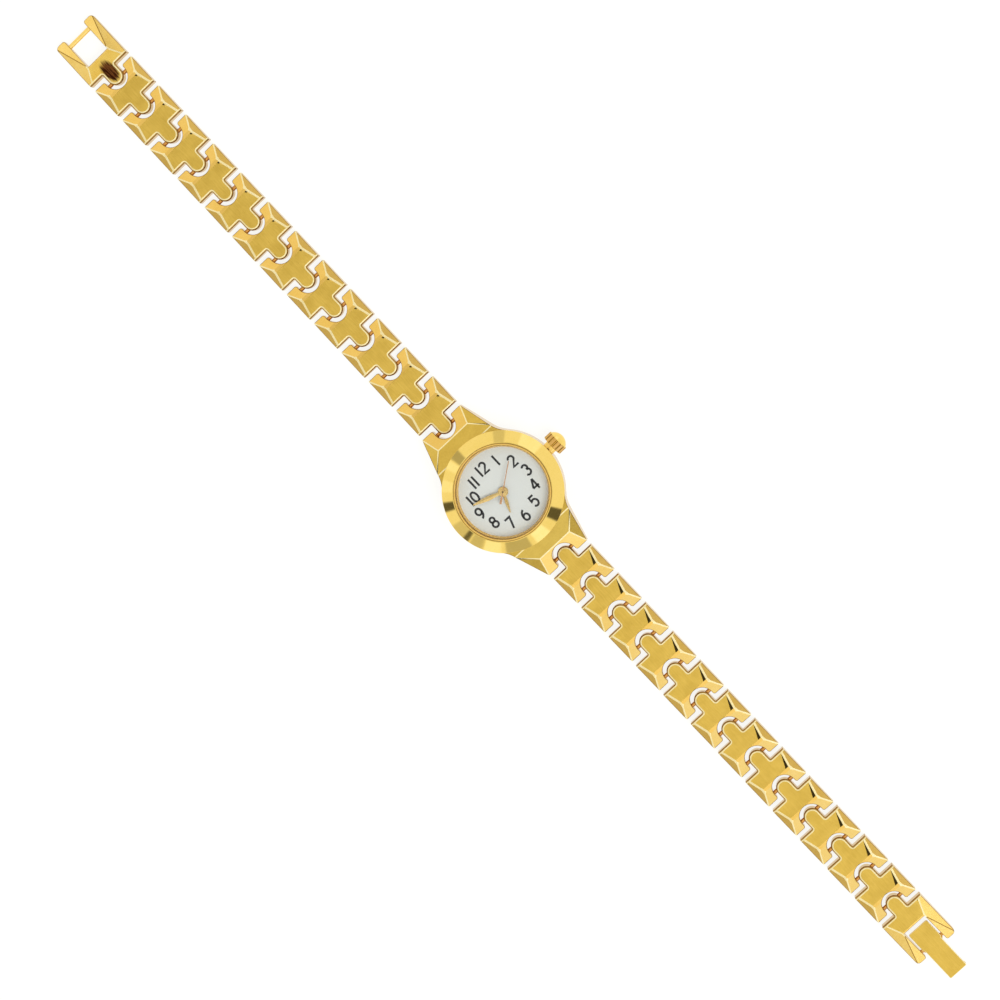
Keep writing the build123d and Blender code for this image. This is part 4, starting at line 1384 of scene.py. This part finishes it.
# %% The crown's band
DOME, SEAL, VALLEY_SHADE = 1, 2, 3
crown_low, crown_high = size_of("crown")
crown_middle = (crown_low.z + crown_high.z) / 2
crown_radius = crown_high.y
crown_flutes = 14
flute_depth = 0.26
flute_form = [(0, 1), (0.1, 0.45), (0.2, 0.12), (0.35, 0), (0.65, 0), (0.8, 0.12), (0.9, 0.45)]
dome_rise = 0.85
band_length = crown_high.x - crown_low.x - dome_rise


def fluted_outline():
    """Rounded ridges with a narrow valley between each two."""
    outline = []
    for flute in range(crown_flutes):
        for share, depth in flute_form:
            angle = 2 * math.pi * (flute + share) / crown_flutes
            radius = crown_radius - flute_depth * depth
            outline.append((radius * math.cos(angle), radius * math.sin(angle)))
    return outline


band = prism(fluted_outline(), 0, band_length)
# Valley faces take the rim gold: painted shade.
for face in band.faces:
    if abs(face.normal.z) < 0.5 and out_from_axis(face) < crown_radius - 0.05:
        face.material_index = VALLEY_SHADE
soften(band, square_edges(band, STEEP_TURN), 0.09, 3, DOME)
print("crown", round(2 * crown_radius, 2), "across,", crown_flutes, "flutes")

# %% [markdown]
# Outside the band the crown ends in a low polished dome, a slice of a ball that is turned. Its
# inner end is open on the real crown and shows the rubber seal in there. The band, dome and seal
# are made upright and laid on their side together.

# %% The crown's dome and seal
dome_foot = crown_radius - 0.16
dome_overlap = 0.1
dome_steps = 12
seal_radius, seal_thick, seal_stands_out = 1.1, 0.05, 0.001
dome_ball = (dome_foot**2 + dome_rise**2) / (2 * dome_rise)
dome_centre = band_length + dome_rise - dome_ball
dome_half_turn = math.asin(dome_foot / dome_ball)
dome_foot_level = band_length - dome_overlap
dome_profile = [(0, dome_foot_level), (dome_foot, dome_foot_level)] + [
    (dome_ball * math.sin(a), dome_centre + dome_ball * math.cos(a))
    for a in (dome_half_turn * (1 - n / dome_steps) for n in range(dome_steps + 1))
]
seal_profile = [
    (0, -seal_stands_out), (seal_radius, -seal_stands_out),
    (seal_radius, seal_thick), (0, seal_thick),
]
crown_shape = joined(
    band,
    painted(turned(dome_profile, 96, closed=False), DOME),
    painted(turned(seal_profile, 64, closed=False), SEAL),
)
crown_seat = Matrix.Translation((crown_low.x, 0, crown_middle))
lay = crown_seat @ Matrix.Rotation(math.pi / 2, 4, "Y")
bmesh.ops.transform(crown_shape, matrix=lay, verts=crown_shape.verts)
place_piece(
    "crown_gilt", crown_shape, (crown_gold_painted_reflection, bezel_gold, seal_rubber, rim_painted_shade),
    "crown", "polished_gold", "crown",
)
print("crown's dome", dome_rise, "high")

# %% [markdown]
# The case back is a snap-on steel plate, seen only from below. It is turned with a shallow step
# inside its rim and a softened outer edge.

# %% Case back
back_radius = size_of("case_back")[1].x
back_step = 0.06
back_profile = rounded([
    (0, back_step, 0),
    (6.2, back_step, 0.05),
    (6.35, 0, 0.05),
    (back_radius - 0.25, 0, 0.08),
    (back_radius, 0.25, 0.05),
    (back_radius, back_top, 0),
    (0, back_top, 0),
], closed=False)
place_piece(
    "case_back_steel", turned(back_profile, 160, closed=False), (steel,),
    "head", "steel", "case_back",
)
print("case back", round(2 * back_radius, 2), "across")

# %% [markdown]
# The movement is closed in, and its CAD solids are right as they are. Each keeps its mesh and only
# takes the finish of the real part: brass wheels, moulded ring, copper coil, green board. The
# crystal's gasket shows as a fine line under the bezel, and is a clear seal that looks gilt there.

# %% Finishes inside the case
inside = {
    clear_seal: ("crystal_gasket",),
    seal_rubber: ("case_back_gasket", "crown_gasket"),
    polished_gold: ("crown_tube",),
    moulding: ("movement_ring", "fifth_wheel", "rotor", "minute_wheel"),
    wheel_brass: (
        "main_plate", "train_bridge", "hour_wheel", "centre_wheel", "second_wheel", "third_wheel",
    ),
    steel: ("bridge_screws", "battery", "battery_clip", "stator", "setting_lever", "stem"),
    copper: ("coil",),
    board_green: ("circuit_board",),
}
for finish, nodes in inside.items():
    for node in nodes:
        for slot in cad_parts[node].material_slots:
            slot.material = finish
print("finished inside", sum(len(nodes) for nodes in inside.values()), "nodes")

# %% [markdown]
# The table is a plain white board. Camera, mirror and glass rays see it a little lifted, so it
# stays white round the watch and still keeps a soft shadow. All other rays see plain white, which
# throws no more light on the watch than a real board would.

# %% Table
table_half = 1.2
table_drop = 0.02
table_lift = 0.88
table_shape = bmesh.new()
bmesh.ops.create_grid(table_shape, x_segments=2, y_segments=2, size=table_half)
table_mesh = bpy.data.meshes.new("table")
table_shape.to_mesh(table_mesh)
table_shape.free()
table = bpy.data.objects.new("table", table_mesh)
table.location.z = -table_drop * MM
bpy.context.scene.collection.objects.link(table)

table_white, bench = new_finish("table_white")
camera_ray, glossy_ray, glass_ray = (
    bench.node("ShaderNodeLightPath", out=f"Is {kind} Ray")
    for kind in ("Camera", "Glossy", "Transmission")
)
seen = camera_ray + glossy_ray + glass_ray
plain = bench.node("ShaderNodeBsdfDiffuse", sockets={"Color": (0.80, 0.80, 0.785)})
shaded = bench.node("ShaderNodeBsdfDiffuse", sockets={"Color": (0.15, 0.15, 0.145)})
glow = bench.node(
    "ShaderNodeEmission", sockets={"Color": (1.0, 1.0, 0.975), "Strength": table_lift}
)
lifted = bench.node("ShaderNodeAddShader", sockets={0: shaded, 1: glow})
close_finish(bench, bench.node("ShaderNodeMixShader", sockets={0: seen, 1: plain, 2: lifted}))
table_mesh.materials.append(table_white)
print("table", 2 * table_half, "m")

# %% [markdown]
# Polished metal shows the room, so the room is what makes these golds. The watch lies in a white
# tent. Overhead it is a little darker towards twelve o'clock, which sets the tone of the flat
# tops. The slopes of the tent are what the side facets and the ears mirror: brighter towards the
# two ends of the bracelet, with one pale card above the ears of the six o'clock strand. The world
# node gives the direction as x, y and z, and dividing by the height lays it out like a ceiling.

# %% Tent overhead and its slopes
overhead, overhead_step, overhead_fall = 1.06, 0.17, 0.25
slope_level, crown_side_gain, ends_gain = 0.64, 0.08, 0.37
card_gain, card_middle, card_reach_along, card_reach_across = 0.07, -0.75, 0.18, 0.5

tent = bpy.data.worlds.new("tent")
bpy.context.scene.world = tent
bench = Bench(tent)
x, y, z = bench.parts(bench.node("ShaderNodeTexCoord", out="Generated"))
height = z.larger(0.05)
across, along = x / height, y / height
flat_square = x * x + y * y + 1e-6
flat_reach = flat_square.root()
above = overhead - overhead_step * y.rise(-0.05, 0.05) - overhead_fall * y
toward_ends = (y * y / flat_square).rise(0.2, 0.75)
slopes = slope_level + crown_side_gain * x.rise(0.0, 0.2) + ends_gain * toward_ends
card_along = (card_reach_along - (along - card_middle).size()).rise(0.0, 0.06)
card_across = (card_reach_across - across.size()).rise(0.0, 0.1)
pale_card = card_along * card_across
slopes = slopes + card_gain * pale_card
print("tent overhead ready")

# %% [markdown]
# The bezel is a steep cone and mirrors a band low down, where each direction has its own place on
# the ring. Bright and dark cards stand there, each with an azimuth, half its width in degrees and
# its change of brightness. They give the ring its patches, as black and white boards do round a
# real one in a studio.

# %% Low cards
cards = [
    (20, 12, 0.14), (117, 4, 0.12), (136.5, 5, 0.1), (211, 9, 0.14), (262, 8, 0.2),
    (106, 5, -0.5), (155, 4, -0.88), (187.5, 2.2, -0.8), (180, 8, -0.28), (198, 6, -0.33),
    (236.5, 12, -0.42), (56, 6, -0.25), (288, 6.5, -0.88),
]
soft_edge = 1.5
low_down = 1.0
for azimuth, half_width, change in cards:
    a = math.radians(azimuth)
    toward = (math.cos(a) * x + math.sin(a) * y) / flat_reach
    outer = math.cos(math.radians(half_width + soft_edge))
    inner = math.cos(math.radians(max(0.5, half_width - soft_edge)))
    low_down = low_down * (1 + change * toward.rise(outer, inner) * z.rise(0.02, 0.06))
print("tent with", len(cards), "cards")

# %% [markdown]
# The three parts are laid over each other by height. A dark slot beside the lens is what the small
# facets mirror. The pale cards are a little bluer than the tent, and gold mirrors that as a paler
# yellow. The camera itself sees plain white.

# %% Slot, colour and sky
slot_middle, slot_reach_across, slot_reach_along, slot_depth = 0.125, 0.10, 0.5, 0.96
cool_gain = 4

level = low_down + (slopes - low_down) * z.rise(0.45, 0.66)
level = level + (above - level) * z.rise(0.85, 0.955)
slot_across = (slot_reach_across - (across - slot_middle).size()).rise(0.0, 0.03)
slot_along = (slot_reach_along - along.size()).rise(0.0, 0.1)
level = level * (1 - slot_depth * (slot_across * slot_along * z.rise(0.5, 0.6)))
camera_ray = bench.node("ShaderNodeLightPath", out="Is Camera Ray")
strength = camera_ray + (1 - camera_ray) * level
pale_low = (low_down - 1.0) * cool_gain * (1 - z.rise(0.45, 0.6))
cool = (pale_card * z.rise(0.6, 0.7) + pale_low).larger(0.0)
tint = bench.mix(cool * (1 - camera_ray), (1.0, 0.995, 0.975), (0.98, 1.09, 1.5))
sky = bench.node("ShaderNodeBackground", sockets={"Color": tint, "Strength": strength})
bench.node("ShaderNodeOutputWorld", sockets={"Surface": sky})
print("tent closed")

# %% [markdown]
# One large soft lamp from the six o'clock side adds the direction that an even tent lacks, and
# gives the watch its faint shadow. It is weak, since the tent already lights the watch at the
# level at which colours look as written, and it is kept out of the mirrors.

# %% Lamp
lamp_way = Vector((0.12, -0.48, 0.87)).normalized()
lamp_distance = 0.9
lamp_data = bpy.data.lights.new("soft box", "AREA")
lamp_data.shape = "DISK"
lamp_data.size = 0.55
lamp_data.energy = 4.0
lamp = bpy.data.objects.new("soft box", lamp_data)
lamp.location = lamp_way * lamp_distance
lamp.rotation_mode = "QUATERNION"
lamp.rotation_quaternion = lamp_way.to_track_quat("Z", "Y")
lamp.visible_glossy = False
bpy.context.scene.collection.objects.link(lamp)
print("lamp", lamp_data.energy, "W")

# %% [markdown]
# The camera looks down almost square to the table, leaning a little towards the crown. In the
# photograph 12 o'clock points to the upper left. The image's up and right directions are worked
# out in the watch's frame, and the camera stands where 1000 pixels span 150 mm.

# %% Camera
PIXELS = 1000
field = 150.0
hub_pixel = (504.7, 490.2)
twelve_direction = math.radians(133.5)
lean = math.radians(7)
lens = 100.0
sensor = 36.0

image_right = Vector((math.sin(twelve_direction), math.cos(twelve_direction), 0))
image_up = Vector((-math.cos(twelve_direction), math.sin(twelve_direction), 0))
scale = field / PIXELS
aim_right = (PIXELS / 2 - hub_pixel[0]) * scale
aim_up = (hub_pixel[1] - PIXELS / 2) * scale
aim = image_right * aim_right + image_up * aim_up
aim.z = link_top
back = Vector((math.sin(lean), 0, math.cos(lean)))
up = (image_up - back * image_up.dot(back)).normalized()
right = up.cross(back)
distance = field * lens / sensor

camera_data = bpy.data.cameras.new("camera")
camera_data.lens = lens
camera_data.sensor_width = sensor
camera_data.clip_start = 0.01
camera_data.clip_end = 10
camera = bpy.data.objects.new("camera", camera_data)
camera.matrix_world = Matrix.LocRotScale(
    (aim + back * distance) * MM, Matrix((right, up, back)).transposed(), None
)
bpy.context.scene.collection.objects.link(camera)
bpy.context.scene.camera = camera
bpy.context.scene.view_settings.view_transform = "Standard"
print("camera", round(distance, 1), "mm from the links")
